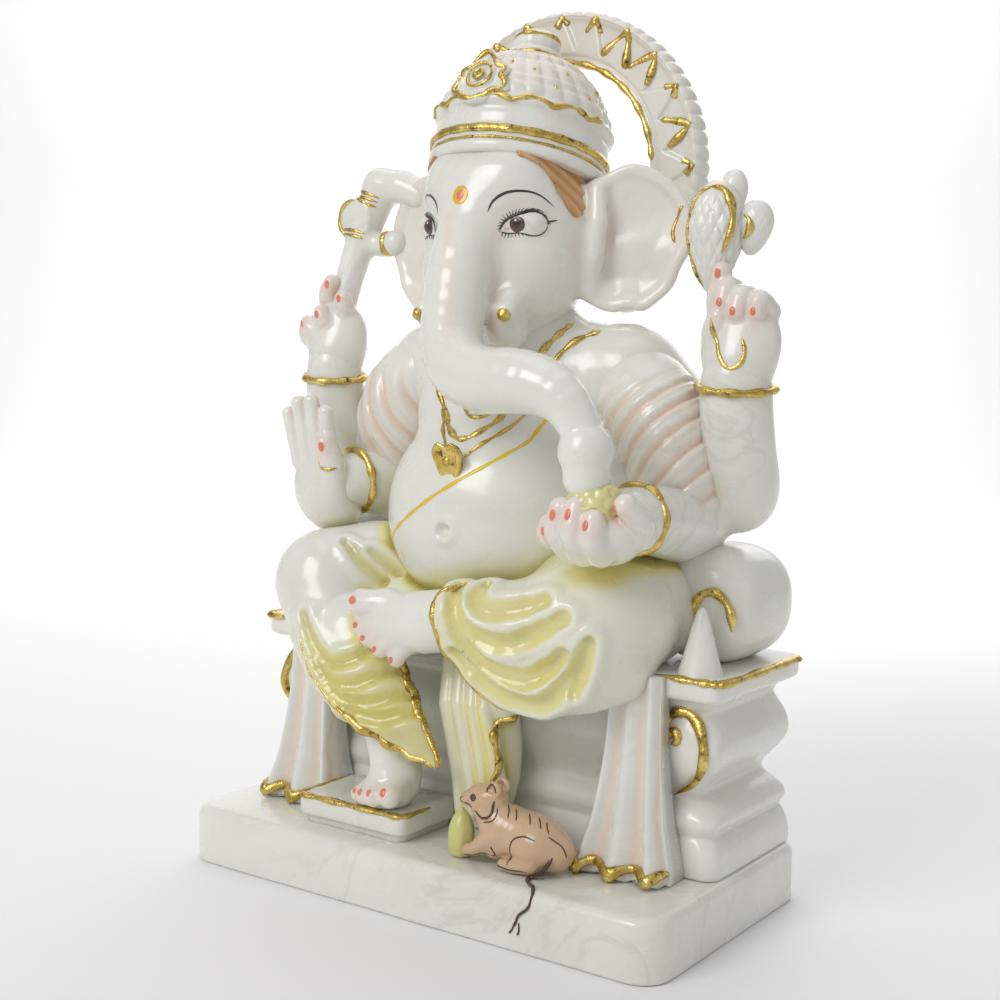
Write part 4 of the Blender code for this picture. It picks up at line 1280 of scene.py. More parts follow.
head = marble(
    "head_stone", carve(head_and_ears, seated(-66, -54, 56), seated(74, 36, 176)), "head", "trunk",
    "left_ear", "right_ear",
)
for side, sign in SIDES:
    stub = seated_line(
        ((sign * 16.2, -20.4, 111.6, 2.9), (sign * 17, -23.4, 110.4, 2.5), (sign * 17.2, -24.4, 110, 1.8)),
    )
    gilding(
        f"{side}_tusk_gilding",
        carve(
            lambda p, s=stub: rod(p, s), seated(sign * 16.5 - 6, -31, 103),
            seated(sign * 16.5 + 6, -14, 118), 0.7,
        ),
        f"{side}_tusk",
    )


# ---------------------------------------------------------------------------------------------------- Hair
# Locks that sweep from under the crown down each temple, cut as grooves and painted an orange tan.

HAIR_PAINT = stone("hair_paint", (0.74, 0.44, 0.20), (0.54, 0.27, 0.10), vein=0.1, waves=0.6, through=0.05)
HAIR_EDGE = (
    (11, 168), (11.6, 161.4), (15, 160.2), (20, 157.6), (23.4, 153), (26.4, 148.4), (28.6, 144.6),
    (31.4, 142.6), (34.4, 144.4), (37.4, 149), (38.6, 156), (37, 163), (30, 169),
)
hair_outline = bend(np.array(HAIR_EDGE + HAIR_EDGE[:1]), 57)[:-1]


def combed(p, sign):
    """Where a point lies in the quarter view of the hair, across and up, and how deep between two locks it
    is."""
    u = sign * p[..., 0] * 0.83 + (p[..., 1] + 6) * 0.56 + 4.5
    v = p[..., 2] - SEAT
    return u, v, np.abs(np.sin(0.62 * (1.1 * u + 1.5 * v - 0.018 * (u - 16) * (v - 150))))


def hair_form(p, sign):
    """The skull raised by a millimetre inside an outline seen from the front quarter, grooved along the
    locks."""
    u, v, between = combed(p, sign)
    return np.maximum(
        np.maximum(outline_distance(u, v, hair_outline), head_form(p) - 1.25 + 0.75 * between),
        -24.6 - p[..., 1],
    )


for side, sign in SIDES:
    hair = piece(
        f"{side}_hair_stone",
        carve(
            lambda p, s=sign: hair_form(p, s), seated(sign * 22 - 16, -26, 136),
            seated(sign * 22 + 16, 22, 168), VOXEL * 0.75,
        ),
        HAIR_PAINT, [f"{side}_hair"],
    )
    # Painted shade: darker brown deep in the grooves between the locks.
    brush(hair, (0.36, 0.15, 0.04), 0.62 * combed(points_of(hair), sign)[2] ** 3)


# --------------------------------------------------------------------------------------------------- Hands
# Four hands with full fingers: one raised in blessing, one cupped under a sweet, and two fists that hold what
# stands above them.

def fingers(form, p, rows, foot, tip, k):
    """Curled fingers melted onto a hand: each has three stations and a radius, thicker at the foot by one
    share and thinner at the tip by another."""
    for stations, r in rows:
        sized = np.hstack([seated_line(stations), [[r * foot], [r], [r * tip]]])
        form = melt(form, rod(p, bend(sized, 7)), k)
    return form


def flat_hand(p):
    """The blessing hand: a palm as a flattened egg, four straight fingers side by side, and the thumb
    across."""
    form = egg(p, (-70, -11, 49), (11.6, 6.6, 14))
    form = melt(form, limb(p, ((-65, -7, 40, 8.6), (-67.5, -9.5, 46, 7.6))), 5)
    for foot, tip, r in (
        ((-78.2, -12.6, 57), (-81.6, -15.8, 74.5), 2.7), ((-73.6, -13, 59), (-76.2, -16.6, 78.4), 2.9),
        ((-68.8, -13, 59), (-70.4, -16.4, 79.2), 2.9), ((-64.2, -12.6, 58), (-64.6, -15.4, 75.6), 2.7),
    ):
        form = melt(form, limb(p, ((*foot, r + 0.7), (*tip, r - 0.1))), 0.8)
    thumb = (
        (-63.5, -11, 45, 5.6), (-61.6, -13.6, 54, 4.6), (-62.4, -15.4, 60, 4.2), (-63.6, -16.4, 64.4, 3.6),
    )
    return melt(form, limb(p, thumb, smooth=8), 2.2)


def cupped_hand(p):
    """The left front hand: a palm hollowed under the sweet, four fingers that curl up in front, and the
    thumb."""
    form = egg(p, (63, -37, 45), (13.4, 11, 8.6))
    form = melt(form, limb(p, ((67, -25, 47.5, 9.2), (65, -33, 45, 9))), 5)
    rows = (
        (((52, -38, 42), (49.4, -43.6, 44), (50.4, -45, 47.4)), 3.8),
        (((56, -41, 40), (54, -46.4, 45), (55, -46.6, 52.6)), 4.1),
        (((61.4, -43, 40), (60.6, -48, 45.4), (60.8, -47, 53.2)), 4.2),
        (((67, -42.6, 40), (67, -47.6, 44), (66.8, -47.2, 50)), 4.0),
        (((74, -31, 45), (76.6, -38, 50), (75, -43, 54.6)), 4.2),
    )
    return fingers(form, p, rows, 1.12, 0.86, 1.4)


def left_fist(p):
    """The left back hand: the forefinger stands up along the stalk and the other three curl over it."""
    form = egg(p, (82.6, 13, 103.5), (13.4, 9, 14.6))
    form = melt(form, limb(p, ((82, 12, 88, 10.6), (82.6, 12.6, 96, 10.6))), 4)
    rows = (
        (((76.5, 13, 106), (75.4, 10.4, 116), (77, 9.4, 125.4)), 3.7),
        (((81, 15, 117), (79.4, 9.5, 120.4), (79.2, 6.6, 115.4)), 3.7),
        (((86, 15, 116), (84.8, 8.6, 117.6), (84.2, 5.8, 112.6)), 3.6),
        (((91, 14.5, 113), (90.6, 9, 116.4), (90.2, 7.6, 112.6)), 3.4),
        (((76.4, 11, 99), (76, 7, 106), (78, 6.2, 111)), 3.8),
    )
    return fingers(form, p, rows, 1.15, 0.86, 1.2)


def right_fist(p):
    """The right back hand: two fingers stand up round the shaft of the goad, and two point out below the
    thumb."""
    form = egg(p, (-80.4, 9, 102.5), (12.4, 8.8, 14.4))
    form = melt(form, limb(p, ((-80, 7, 88, 9.6), (-80, 8, 96, 9.6))), 4)
    rows = (
        (((-83, 9, 110), (-82.4, 5.6, 118), (-79.8, 4.6, 122.6)), 3.5),
        (((-76, 9, 109), (-73.6, 5, 113.6), (-73.2, 3.4, 117)), 3.5),
        (((-79, 6, 106), (-80.4, 1.6, 108.4), (-81.4, 0.8, 111.4)), 3.4),
        (((-85, 6, 104), (-88, 3.6, 105), (-90.4, 3.6, 107.6)), 3.4),
        (((-86.4, 7, 99), (-90.6, 4.6, 101.6), (-92, 4, 104.6)), 3.0),
    )
    return fingers(form, p, rows, 1.15, 0.84, 1.2)


HAND_VOXEL = 0.6
hands = {}
for name, form, low, high in (
    ("right_front_hand", flat_hand, (-88, -24, 28), (-52, 4, 86)),
    ("left_front_hand", cupped_hand, (42, -56, 32), (84, -14, 62)),
    ("left_back_hand", left_fist, (68, -2, 80), (98, 26, 132)),
    ("right_back_hand", right_fist, (-98, -6, 80), (-66, 22, 130)),
):
    hands[name] = marble(name + "_stone", carve(form, seated(*low), seated(*high), HAND_VOXEL), name), form


# -------------------------------------------------------------------------------------------------- Sweets
# The ball in the cupped hand, pricked over with petals, and the pointed one in front of the mouse.


def full_turn(count):
    """Angles that divide a full turn into equal steps."""
    return np.radians(np.linspace(0, 360, count + 1)[:-1])


SWEET_PAINT = stone("sweet_paint", (0.78, 0.74, 0.36), (0.62, 0.60, 0.22), vein=0.1, waves=0.8, through=0.1)
ball = swollen(seated(63, -40.6, 53.8), (8.8, 8.6, 8.0), 2.0) - seated(63, -40.6, 53.8)
turn_round = np.arctan2(ball[..., 1], ball[..., 0])
climb = np.arcsin(np.clip(ball[..., 2] / (np.linalg.norm(ball, axis=-1) + 1e-9), -1, 1))
petals = np.abs(np.sin(4.5 * turn_round + np.floor(climb * 3.2) * 1.6)) ** 0.6 * np.cos(climb) ** 0.5
petals = petals * (0.6 + 0.4 * np.abs(np.cos(climb * 5)))
ball = skin(seated(63, -40.6, 53.8) + ball * (0.90 + 0.12 * petals)[..., None])
piece("laddu_stone", ball, SWEET_PAINT, ["laddu"])
drop_profile = bend(
    ((0.4, 0), (3.2, 0.3), (4.1, 2.6), (4.4, 6.0), (4.2, 9.6), (3.0, 12.8), (1.3, 15.0), (0.25, 16.0)), 26,
)
drop_turn = full_turn(48)
r, z = drop_profile[:, :1] * (1 + 0.03 * np.cos(6 * drop_turn)), GROUND - 0.2 + drop_profile[:, 1:]
drop_rings = np.stack(np.broadcast_arrays(14.8 + r * np.cos(drop_turn), -37 + r * np.sin(drop_turn), z), -1)
piece("mouse_sweet_stone", skin(drop_rings), SWEET_PAINT, ["mouse_sweet"])


# --------------------------------------------------------------------------------------------------- Crown
# A low domed crown tipped back on the head: a rolled band, a plain wall, flutes above it like a shell, and a
# small cushion and knob on top.

CROWN_TILT = math.radians(13)
CROWN_TURN = np.array(
    (
        (1, 0, 0),
        (0, math.cos(CROWN_TILT), math.sin(CROWN_TILT)),
        (0, -math.sin(CROWN_TILT), math.cos(CROWN_TILT)),
    ),
)
crown_foot = seated(0, 7.5, 161)
CROWN_R = 30.6


def on_crown(across, out, up):
    """From the crown's own axis (right, back, up) to the room."""
    return np.stack(np.broadcast_arrays(across, out, up), -1) @ CROWN_TURN.T + crown_foot


def scallop_rise(z, a):
    """How far the scalloped line on the crown's wall stands out at a height and an angle."""
    return 0.7 * np.exp(-(((z - 12.6 - 1.1 * np.abs(np.sin(7 * a))) / 1.6) ** 2))


CROWN_RISE = (
    (0.90, -4.8), (0.965, -4.4), (0.995, -3.0), (0.99, -1.4), (0.96, -0.4), (0.975, 0.8), (0.985, 3.4),
    (0.97, 5.0), (0.965, 8), (0.955, 10.5), (0.985, 12), (0.985, 13.6), (0.955, 15), (0.94, 18.4),
    (0.90, 20), (0.885, 22), (0.86, 23), (0.80, 26.5), (0.70, 29.8), (0.66, 30.2), (0.60, 33), (0.46, 35.6),
    (0.30, 37), (0.02, 37.6),
)
crown_profile = bend(CROWN_RISE, 120)
around = full_turn(288)
r, z = crown_profile[:, :1] * CROWN_R, crown_profile[:, 1:]
above = np.clip((z - 14.5) / 2, 0, 1) * np.clip((37 - z) / 6, 0, 1)
flutes = np.abs(np.sin(14 * around[None] + 0.09 * z)) ** 0.7
r = r + 0.9 * above * (flutes - 0.5) + scallop_rise(z, around[None])
crown = marble("crown_stone", skin(on_crown(r * np.cos(around), r * np.sin(around), z)), "crown")
knob_profile = bend(
    (
        (4.0, 34), (7.8, 35), (9.4, 37.4), (8.8, 39.8), (7.4, 40.6), (7.8, 42), (7.6, 44.4), (6.0, 46.4),
        (3.2, 47.8), (0.1, 48.4),
    ),
    50,
)
knob_turn = full_turn(96)
r, z = knob_profile[:, :1] * (1 + 0.02 * np.abs(np.sin(6 * knob_turn))), knob_profile[:, 1:]
marble("crown_knob_stone", skin(on_crown(r * np.cos(knob_turn), r * np.sin(knob_turn), z)), "crown_knob")


def crown_line(knots, lift):
    """A line on the crown's wall, from knots (degrees round from the front, height on the axis)."""
    knots = bend(knots, 30 * (len(knots) - 1))
    a = np.radians(knots[:, 0] - 90)
    wall = np.interp(knots[:, 1], crown_profile[:, 1][:100], crown_profile[:, 0][:100]) * CROWN_R
    wall = wall + scallop_rise(knots[:, 1], a) + lift
    path = on_crown(wall * np.cos(a), wall * np.sin(a), knots[:, 1])
    out = on_crown((wall + 1) * np.cos(a), (wall + 1) * np.sin(a), knots[:, 1] + 0.15) - path
    return path, out


BAND_HALF = 128
sweep = np.linspace(-BAND_HALF, BAND_HALF, 40)
band_path, band_out = crown_line(np.stack([sweep, np.full(40, 2.8)], -1), -0.1)
gilding("crown_band_gilding", bead(band_path, band_out, 3.0, 0.9, wobble=0.08, taper=0.03), "crown_band")
thin_path, thin_out = crown_line(np.stack([sweep, np.full(40, -0.1)], -1), 0.1)
lobes = np.linspace(-92, 92, 73)
scallop_path, scallop_out = crown_line(
    np.stack([lobes, 12.2 + 1.6 * np.abs(np.sin(np.radians(7 * lobes)))], -1), -0.1,
)
crown_lines = [
    bead(thin_path, thin_out, 0.9, 0.35, wobble=0.2),
    bead(scallop_path, scallop_out, 1.9, 0.7, wobble=0.2, taper=0.02),
]
for degrees, up in (
    (36, 24.6), (52, 19.2), (62, 26), (80, 20), (96, 25), (-36, 24.6), (-52, 19.2), (-62, 26), (-80, 20),
    (18, 27), (-18, 27),
):
    spot, out = crown_line(((degrees - 1.6, up), (degrees + 1.6, up)), -0.1)
    crown_lines.append(bead(spot, out, 2.2, 0.8, taper=0.4, wobble=0))
knob_a = full_turn(72)
for height_up, half, wide in ((37.4, 9.3, 2.0), (44.6, 7.5, 1.6)):
    path = on_crown(half * np.cos(knob_a), half * np.sin(knob_a), height_up)
    out = on_crown((half + 1) * np.cos(knob_a), (half + 1) * np.sin(knob_a), height_up) - path
    crown_lines.append(bead(path, out, wide, 0.6, closed=True, wobble=0.2))
gilding("crown_gilding", gathered(crown_lines))


CREST_LEAN = math.radians(16)
CREST_FORWARD, CREST_FOOT, CREST_BOSS, CREST_BOW = 29.6, 11, 9.5, 0.02


def crest_form(p):
    """A leaf-shaped plaque on the front of the crown, with a boss in the middle and a raised edge."""
    q = (p - crown_foot) @ CROWN_TURN.astype(np.float32)
    u, up = q[..., 0], q[..., 2] - CREST_FOOT
    y = q[..., 1] + CREST_FORWARD
    v, w = up * math.cos(CREST_LEAN) + y * math.sin(CREST_LEAN), -(
        y * math.cos(CREST_LEAN) - up * math.sin(CREST_LEAN)
    )
    edge = outline_distance(u, v, crest_outline)
    plaque = np.maximum(edge + 0.8, np.abs(w) - 1.8 + CREST_BOW * u * u)
    rim = np.sqrt((edge + 1.2) ** 2 + (w - 1.6 + CREST_BOW * u * u) ** 2) - 1.3
    boss = np.sqrt(u * u + (v - CREST_BOSS) ** 2 + (1.4 * (w - 1.2)) ** 2) - 2.5
    ring = np.sqrt((np.sqrt(u * u + (v - CREST_BOSS) ** 2 + 1e-6) - 4.6) ** 2 + (w - 1.9) ** 2) - 0.8
    return melt(melt(melt(plaque, rim, 1), boss, 1.2), ring, 0.8)


CREST_RIM = (
    (0, -1), (5, 0.4), (7.4, 3), (11.2, 4.4), (10.6, 8), (8.4, 10), (9.4, 13), (6, 14.4), (3.6, 17.4),
    (0, 20.4),
)
crest_knots = np.array(CREST_RIM + tuple((-x, y) for x, y in CREST_RIM[-2:0:-1]) + CREST_RIM[:1])
crest_outline = bend(crest_knots, 57)[:-1]
piece(
    "crown_crest_stone", carve(crest_form, seated(-14, -32, 170), seated(14, -8, 200), VOXEL * 0.7),
    WHITE_MARBLE, ["crown_crest"],
)


def on_crest(knots, lift):
    """Points on the plaque's face from (across, up) in its own plane."""
    u, v = np.asarray(knots, float).T
    face = lift - CREST_BOW * u * u
    up = v * math.cos(CREST_LEAN) + face * math.sin(CREST_LEAN)
    out = v * math.sin(CREST_LEAN) - face * math.cos(CREST_LEAN)
    return on_crown(u, out - CREST_FORWARD, up + CREST_FOOT)


crest_lines = []
inner_rim = crest_outline * 0.87 + np.array((0, 1.1))
crest_lines.append(bead(on_crest(inner_rim, 2.5), (0, -0.85, 0.5), 1.9, 0.8, closed=True, wobble=0.25))
round_a = full_turn(40)
for half, wide in ((4.6, 1.2), (1.5, 1.6)):
    circle = np.stack([half * np.cos(round_a), CREST_BOSS + half * np.sin(round_a)], -1)
    crest_lines.append(
        bead(
            on_crest(circle, 2.8 if half > 2 else 3.4), (0, -0.85, 0.5), wide, 0.5, closed=True, wobble=0.2,
        ),
    )
gilding("crest_gilding", gathered(crest_lines))


# ---------------------------------------------------------------------------------------------------- Halo
# A flat arch of stone behind the crown. Its outer edge is cut in lobes like a rope, and its face carries a
# row of raised darts, picked out in gold, inside a sunk field.

HALO_CENTRE = np.array((0, 36.5, SEAT + 161.6))
HALO_IN, HALO_OUT, HALO_HALF, HALO_ROUND = 37.0, 56.0, 5.0, 2.2
HALO_DIP, DART_PITCH, DART_FIRST = 61, 14.9, 89.5
DART_TIP, DART_DEPTH = 53.2, 10.5
halo_angles = np.linspace(-HALO_DIP, 180 + HALO_DIP, 620)


def halo_face(a, r):
    """Height of the face at an angle and radius: a sunk field between two rims, and darts that point
    outwards."""
    folded = np.where(a > 90, 180 - a, a)
    along = np.abs(
        ((folded - DART_FIRST + DART_PITCH / 2) % DART_PITCH) - DART_PITCH / 2,
    ) / (DART_PITCH / 2)
    reach = DART_TIP - DART_DEPTH * along
    dart = 1 / (1 + np.exp(-(reach - r) / 0.35)) * (1 / (1 + np.exp(-(r - 40.6) / 0.3)))
    outer = 1 / (1 + np.exp(-(r - 52.6) / 0.35))
    inner = 1 / (1 + np.exp((r - 40.0) / 0.35))
    return -1.1 + 1.0 * np.maximum(dart, inner) + 1.1 * outer * (1 - np.maximum(dart, inner))


def halo_section(a):
    """The arch's section as (radius, depth) rings, one for every angle: round lobes outside, flat
    elsewhere."""
    lobe = 0.9 * np.abs(np.cos(np.radians(a) * 34)) ** 0.7
    face_r = np.linspace(HALO_IN + 0.9, HALO_OUT - HALO_ROUND, 56)
    edge_t = np.linspace(0, math.pi, 14)
    rows = []
    for r in face_r:
        rows.append((np.full_like(a, r), -HALO_HALF - halo_face(a, r)))
    for t in edge_t:
        edge_r = HALO_OUT - HALO_ROUND + (1.6 + lobe) * math.sin(t)
        rows.append((edge_r, -(HALO_HALF - 0.1 + 0.35 * lobe) * math.cos(t)))
    for r in face_r[::-8]:
        rows.append((np.full_like(a, r), HALO_HALF + 0.15 * np.sin(np.radians(a) * 9 + r)))
    rows.append((np.full_like(a, HALO_IN + 0.1), np.full_like(a, HALO_HALF - 0.8)))
    rows.append((np.full_like(a, HALO_IN), np.zeros_like(a)))
    rows.append((np.full_like(a, HALO_IN + 0.1), np.full_like(a, -HALO_HALF + 0.8)))
    return np.array(rows)


section = halo_section(halo_angles)
turned_a = np.radians(halo_angles)
halo_rings = np.stack(
    [section[:, 0] * np.cos(turned_a), section[:, 1], section[:, 0] * np.sin(turned_a)], -1,
) + HALO_CENTRE
halo = marble("halo_stone", skin(np.swapaxes(halo_rings, 0, 1)), "halo")


def on_halo(polar, lift=0.1):
    """Points on the halo's face from (radius, degrees)."""
    polar = np.asarray(polar, float)
    a = np.radians(polar[:, 1])
    y = -HALO_HALF - halo_face(polar[:, 1], polar[:, 0]) - lift
    return np.stack([polar[:, 0] * np.cos(a), y, polar[:, 0] * np.sin(a)], -1) + HALO_CENTRE


def straight_run(knots, each=14):
    """A line of straight stretches, with points spaced evenly along each."""
    knots = np.asarray(knots, float)
    share = np.linspace(0, 1, each)[:, None]
    return np.vstack([a + share[1:] * (b - a) for a, b in zip(knots[:-1], knots[1:])] + [knots[-1:]])


rim_run = np.stack([np.full(120, HALO_IN + 1.0), np.linspace(4, 176, 120)], -1)
rim_path = on_halo(rim_run)
front_way = np.array((0, -1.0, 0))
gilding("halo_rim_gilding", bead(rim_path, front_way, 2.2, 0.9, wobble=0.25, taper=0.02), "halo_rim")
dart_lines = []
for n in range(-6, 11):
    tip = DART_FIRST - n * DART_PITCH if n >= 0 else 180 - DART_FIRST - n * DART_PITCH
    if not -14 < tip < 194:
        continue
    deep = (49.5, 48, 41.5)[n % 3] if n < 3 else (49.0, 43.0)[n % 2]
    half = DART_PITCH / 2 * (53.4 - deep) / DART_DEPTH
    run = straight_run(((deep, tip + half * 0.92), (53.6, tip), (deep + 1.5, tip - half * 0.80)))
    dart_lines.append(bead(on_halo(run), front_way, 2.5, 0.8, wobble=0.25, taper=0.05))
for spot in ((55.5, 165), (55.2, 177)):
    stroke = on_halo([(spot[0] - 1.6, spot[1] - 2), (spot[0] + 0.6, spot[1] + 2)])
    dart_lines.append(bead(stroke, front_way, 2.2, 0.8, taper=0.4))
gilding("halo_gilding", gathered(dart_lines))


# ----------------------------------------------------------------------------------------- Lotus bud, goad
# The left back hand holds a lotus bud cut all over in crossing grooves, with a smaller bud beside it. The
# right one holds a goad: a thick shaft with a blunt blade across the top and a disc in the bend.


def bud_radius(t):
    """Share of a bud's half width at a share of its height: a blunt round top, drawn in towards the stalk."""
    return (1 - np.abs(2 * t - 1) ** 2.5) ** (1 / 2.1) * (0.62 + 0.38 * np.clip(t / 0.55, 0, 1) ** 0.8)


def bud_skin(centre, half, lean, depth=0.10):
    """A bud, less grooves along two crossing spirals: sin(7 a + 13 t) and sin(7 a - 13 t)."""
    t, a = np.linspace(0.006, 0.994, 90)[:, None], full_turn(120)[None]
    one, two = np.sin(7 * a + 13 * t), np.sin(7 * a - 13 * t)
    scales = np.minimum(np.abs(one), np.abs(two)) ** 0.5
    r = bud_radius(t) * (1 - depth + depth * 1.2 * scales * np.sin(math.pi * t))
    z = (2 * t - 1) * half[2]
    x = half[0] * r * np.cos(a) + lean * z
    return skin(np.stack(np.broadcast_arrays(x, half[1] * r * np.sin(a), z), -1) + centre)


def bud_line(centre, half, lean, knots):
    """A line on a bud from knots (height share, degrees round from the front), slightly outside it."""
    knots = bend(knots, 40)
    t, a = knots[:, 0], np.radians(knots[:, 1] - 90)
    r = bud_radius(t) * 0.985
    z = (2 * t - 1) * half[2]
    out = np.stack([np.cos(a) / half[0], np.sin(a) / half[1], np.zeros_like(a)], -1)
    path = np.stack([half[0] * r * np.cos(a) + lean * z, half[1] * r * np.sin(a), z], -1) + centre
    return path, out


BUD, BUD_HALF, BUD_LEAN = seated(71.8, 14, 136.5), (9.6, 8.4, 18.0), 0.03
SIDE_BUD, SIDE_HALF = seated(82.8, 19, 139.6), (6.2, 6.0, 8.8)
bud_top = bud_skin(seated(75, 20, 151), (4.4, 4.4, 7.5), 0.0, depth=0.0)
marble("lotus_bud_stone", gathered([bud_skin(BUD, BUD_HALF, BUD_LEAN), bud_top]), "lotus_bud")
marble("lotus_side_bud_stone", bud_skin(SIDE_BUD, SIDE_HALF, 0.1, depth=0.03), "lotus_side_bud")
bud_gilding = []
path, out = bud_line(
    BUD, BUD_HALF, BUD_LEAN, ((0.06, -30), (0.25, -44), (0.5, -50), (0.74, -46), (0.88, -30), (0.93, 0)),
)
bud_gilding.append(bead(path, out, 1.2, 0.6, wobble=0.2))
path, out = bud_line(
    BUD, BUD_HALF, BUD_LEAN, ((0.93, 0), (0.9, 40), (0.78, 56), (0.62, 58), (0.46, 50), (0.34, 40)),
)
bud_gilding.append(bead(path, out, swell(40, (0, 0.3, 1), (1.4, 3.0, 1.4)), 0.9, wobble=0.2))
path, out = bud_line(SIDE_BUD, SIDE_HALF, 0.1, ((0.72, -16), (0.64, 4), (0.5, 12), (0.36, 4), (0.28, -12)))
bud_gilding.append(bead(path, out, swell(40, (0, 0.5, 1), (0.9, 2.6, 0.9)), 0.8, wobble=0.2))
gilding("bud_gilding", gathered(bud_gilding))


def goad_form(p):
    """Shaft, blade, branch and the disc between them."""
    form = limb(
        p,
        (
            (-78.6, 9, 112, 4.8), (-77, 12, 126, 5.2), (-73.6, 15, 141, 5.8), (-70, 17.2, 152, 6.2),
            (-68, 18, 158, 6.2),
        ),
        smooth=10,
    )
    form = melt(form, limb(p, ((-68, 18, 158.4, 6.4), (-58, 18, 157.6, 6.2), (-49.5, 18, 154.6, 5.2))), 3)
    form = melt(form, limb(p, ((-74, 15, 138, 4.2), (-66, 16, 136.6, 4.2), (-60, 17, 137.6, 4.6))), 3)
    q = p - seated(-75, 13.4, 146)
    disc = np.maximum(np.sqrt(q[..., 0] ** 2 + q[..., 2] ** 2) - 7.2, np.abs(q[..., 1]) - 2.6)
    return melt(form, disc, 2.4)


marble("goad_stone", carve(goad_form, seated(-92, 4, 104), seated(-40, 28, 168), VOXEL * 0.9), "goad")


def collar(centre, axis, half, width, height=0.5, arc=(0, 360), count=48, form=None):
    """A band of leaf round a limb: a circle about an axis, drawn onto the form where one is given."""
    axis = np.asarray(axis, float) / np.linalg.norm(axis)
    side = np.cross(axis, (0.0, -1.0, 0.2))
    side /= np.linalg.norm(side)
    fore = np.cross(axis, side)
    whole = arc[1] - arc[0] >= 360
    a = (full_turn(count) if whole else np.radians(np.linspace(*arc, count)))[:, None]
    path = np.asarray(centre) + half * (np.cos(a) * side + np.sin(a) * fore)
    out = np.cos(a) * side + np.sin(a) * fore
    if form is not None:
        path, out = laid(form, path)
    return bead(path, out, width, height, closed=whole, wobble=0.2)


goad_gilding = []
for centre, axis, half, wide, arc in (
    ((-69.4, 17.6, 154.6), (0.3, 0.1, 1), 6.3, 1.2, (120, 320)),
    ((-69.9, 17.4, 152.8), (0.3, 0.1, 1), 6.3, 1.2, (120, 320)),
    ((-70.4, 17.2, 151.0), (0.3, 0.1, 1), 6.3, 1.2, (120, 320)),
    ((-74, 14.8, 140.6), (0.2, 0.2, 1), 6, 1.2, (120, 320)),
    ((-74.4, 14.4, 138.8), (0.2, 0.2, 1), 6, 1.2, (120, 320)),
    ((-62.8, 16.6, 137.2), (1, 0, 0.1), 4.6, 2.4, (0, 360)),
):
    goad_gilding.append(collar(seated(*centre), axis, half, wide, 0.35, arc=arc, form=goad_form))
disc_a = np.radians(np.linspace(80, 262, 40))
disc_path = seated(-75, 13.4, 146) + 7.0 * np.stack([np.cos(disc_a), 0 * disc_a - 0.34, np.sin(disc_a)], -1)
goad_gilding.append(bead(disc_path, front_way, 1.6, 0.7, wobble=0.2))
gilding("goad_gilding", gathered(goad_gilding))


# ------------------------------------------------------------------------------------------------- Bangles
# A gilded bangle at each wrist.

for name, centre, axis, half in (
    ("left_back", (82, 12.4, 89), (0.06, -0.12, 1), 12.0),
    ("right_back", (-80, 7.4, 87.6), (0.06, -0.12, 1), 11.0),
    ("left_front", (66.6, -22, 48.4), (0.05, -1, 0.08), 10.2),
    ("right_front", (-61.2, -1.4, 51), (-0.3, -0.9, -0.1), 10.9),
):
    gilding(
        f"{name}_bangle_gilding", collar(seated(*centre), axis, half, 2.6, 1.5, count=96), f"{name}_bangle",
    )


# --------------------------------------------------------------------------------- Necklace, chain, thread
# Two chains cut in relief and gilded, a pendant on the lower one, and the ochre line of the sacred thread.

THREAD_PAINT = stone(
    "thread_paint", (0.86, 0.62, 0.03), (0.76, 0.50, 0.02), vein=0.0, waves=0.3, through=0.05,
)
chains = [
    gilded(body_form, line, width, 0.9, wobble=0.25, count=90)
    for line, width in (
        (
            (
                (31, 3, 117), (28, 0, 112), (24, -3, 106), (19, -6, 98), (13, -12, 82), (9, -16, 74.6),
                (4, -22, 70.4), (-1, -23, 70), (-8, -18, 73.4), (-15, -12, 80.6), (-20, -6, 88),
                (-24, 0, 97),
            ),
            2.2,
        ),
        (((35, 4, 112), (31.6, 2, 108), (27.6, -1, 103), (24, -5, 97)), 2.4),
        (((-6.4, -16, 83), (-2, -18, 79.6), (4, -17.6, 78.6), (9, -14, 80.6)), 1.5),
        (((-15, -13, 79), (-10, -19, 73), (-4, -24, 66.6), (-1.6, -28, 63)), 1.3),
        (((5, -27, 64), (9, -24, 68.4), (14, -19.6, 73.6), (20, -13, 79.6)), 1.3),
    )
]
gilding("necklace_gilding", gathered(chains), "necklace")


def pendant_form(p):
    """A drop on the breast with a rolled edge and a boss."""
    q = p - seated(1.2, -29.6, 62)
    u, v, w = q[..., 0], q[..., 2], -q[..., 1] - 0.32 * q[..., 2]
    edge = outline_distance(u, v, pendant_outline)
    plate = np.maximum(edge + 0.6, np.abs(w) - 1.4)
    rim = np.sqrt((edge + 0.8) ** 2 + (w - 1.0) ** 2) - 0.9
    boss = np.sqrt(u * u + (v - 0.4) ** 2 + 2 * (w - 1.4) ** 2) - 1.3
    return melt(melt(plate, rim, 0.6), boss, 0.6)


pendant_outline = bend(
    np.array(
        (
            (0, -7.4), (3.4, -4.6), (4.8, -1), (5.6, 3.4), (3, 6.6), (0, 5.6), (-3, 6.6), (-5.6, 3.4),
            (-4.8, -1), (-3.4, -4.6), (0, -7.4),
        ),
    ),
    45,
)[:-1]
gilding(
    "pendant_stone", carve(pendant_form, seated(-8, -36, 52), seated(10, -20, 72), VOXEL * 0.6), "pendant",
)
thread = gilded(
    body_form,
    (
        (30, -2, 86), (24.3, -11, 75), (21.5, -17, 69), (12.5, -25, 61), (-1, -31, 52.5),
        (-14.4, -30, 43.8), (-25, -24, 37), (-33, -14, 31),
    ),
    1.5, 0.24, wobble=0.15, count=110,
)
piece("thread_stone", thread, THREAD_PAINT)


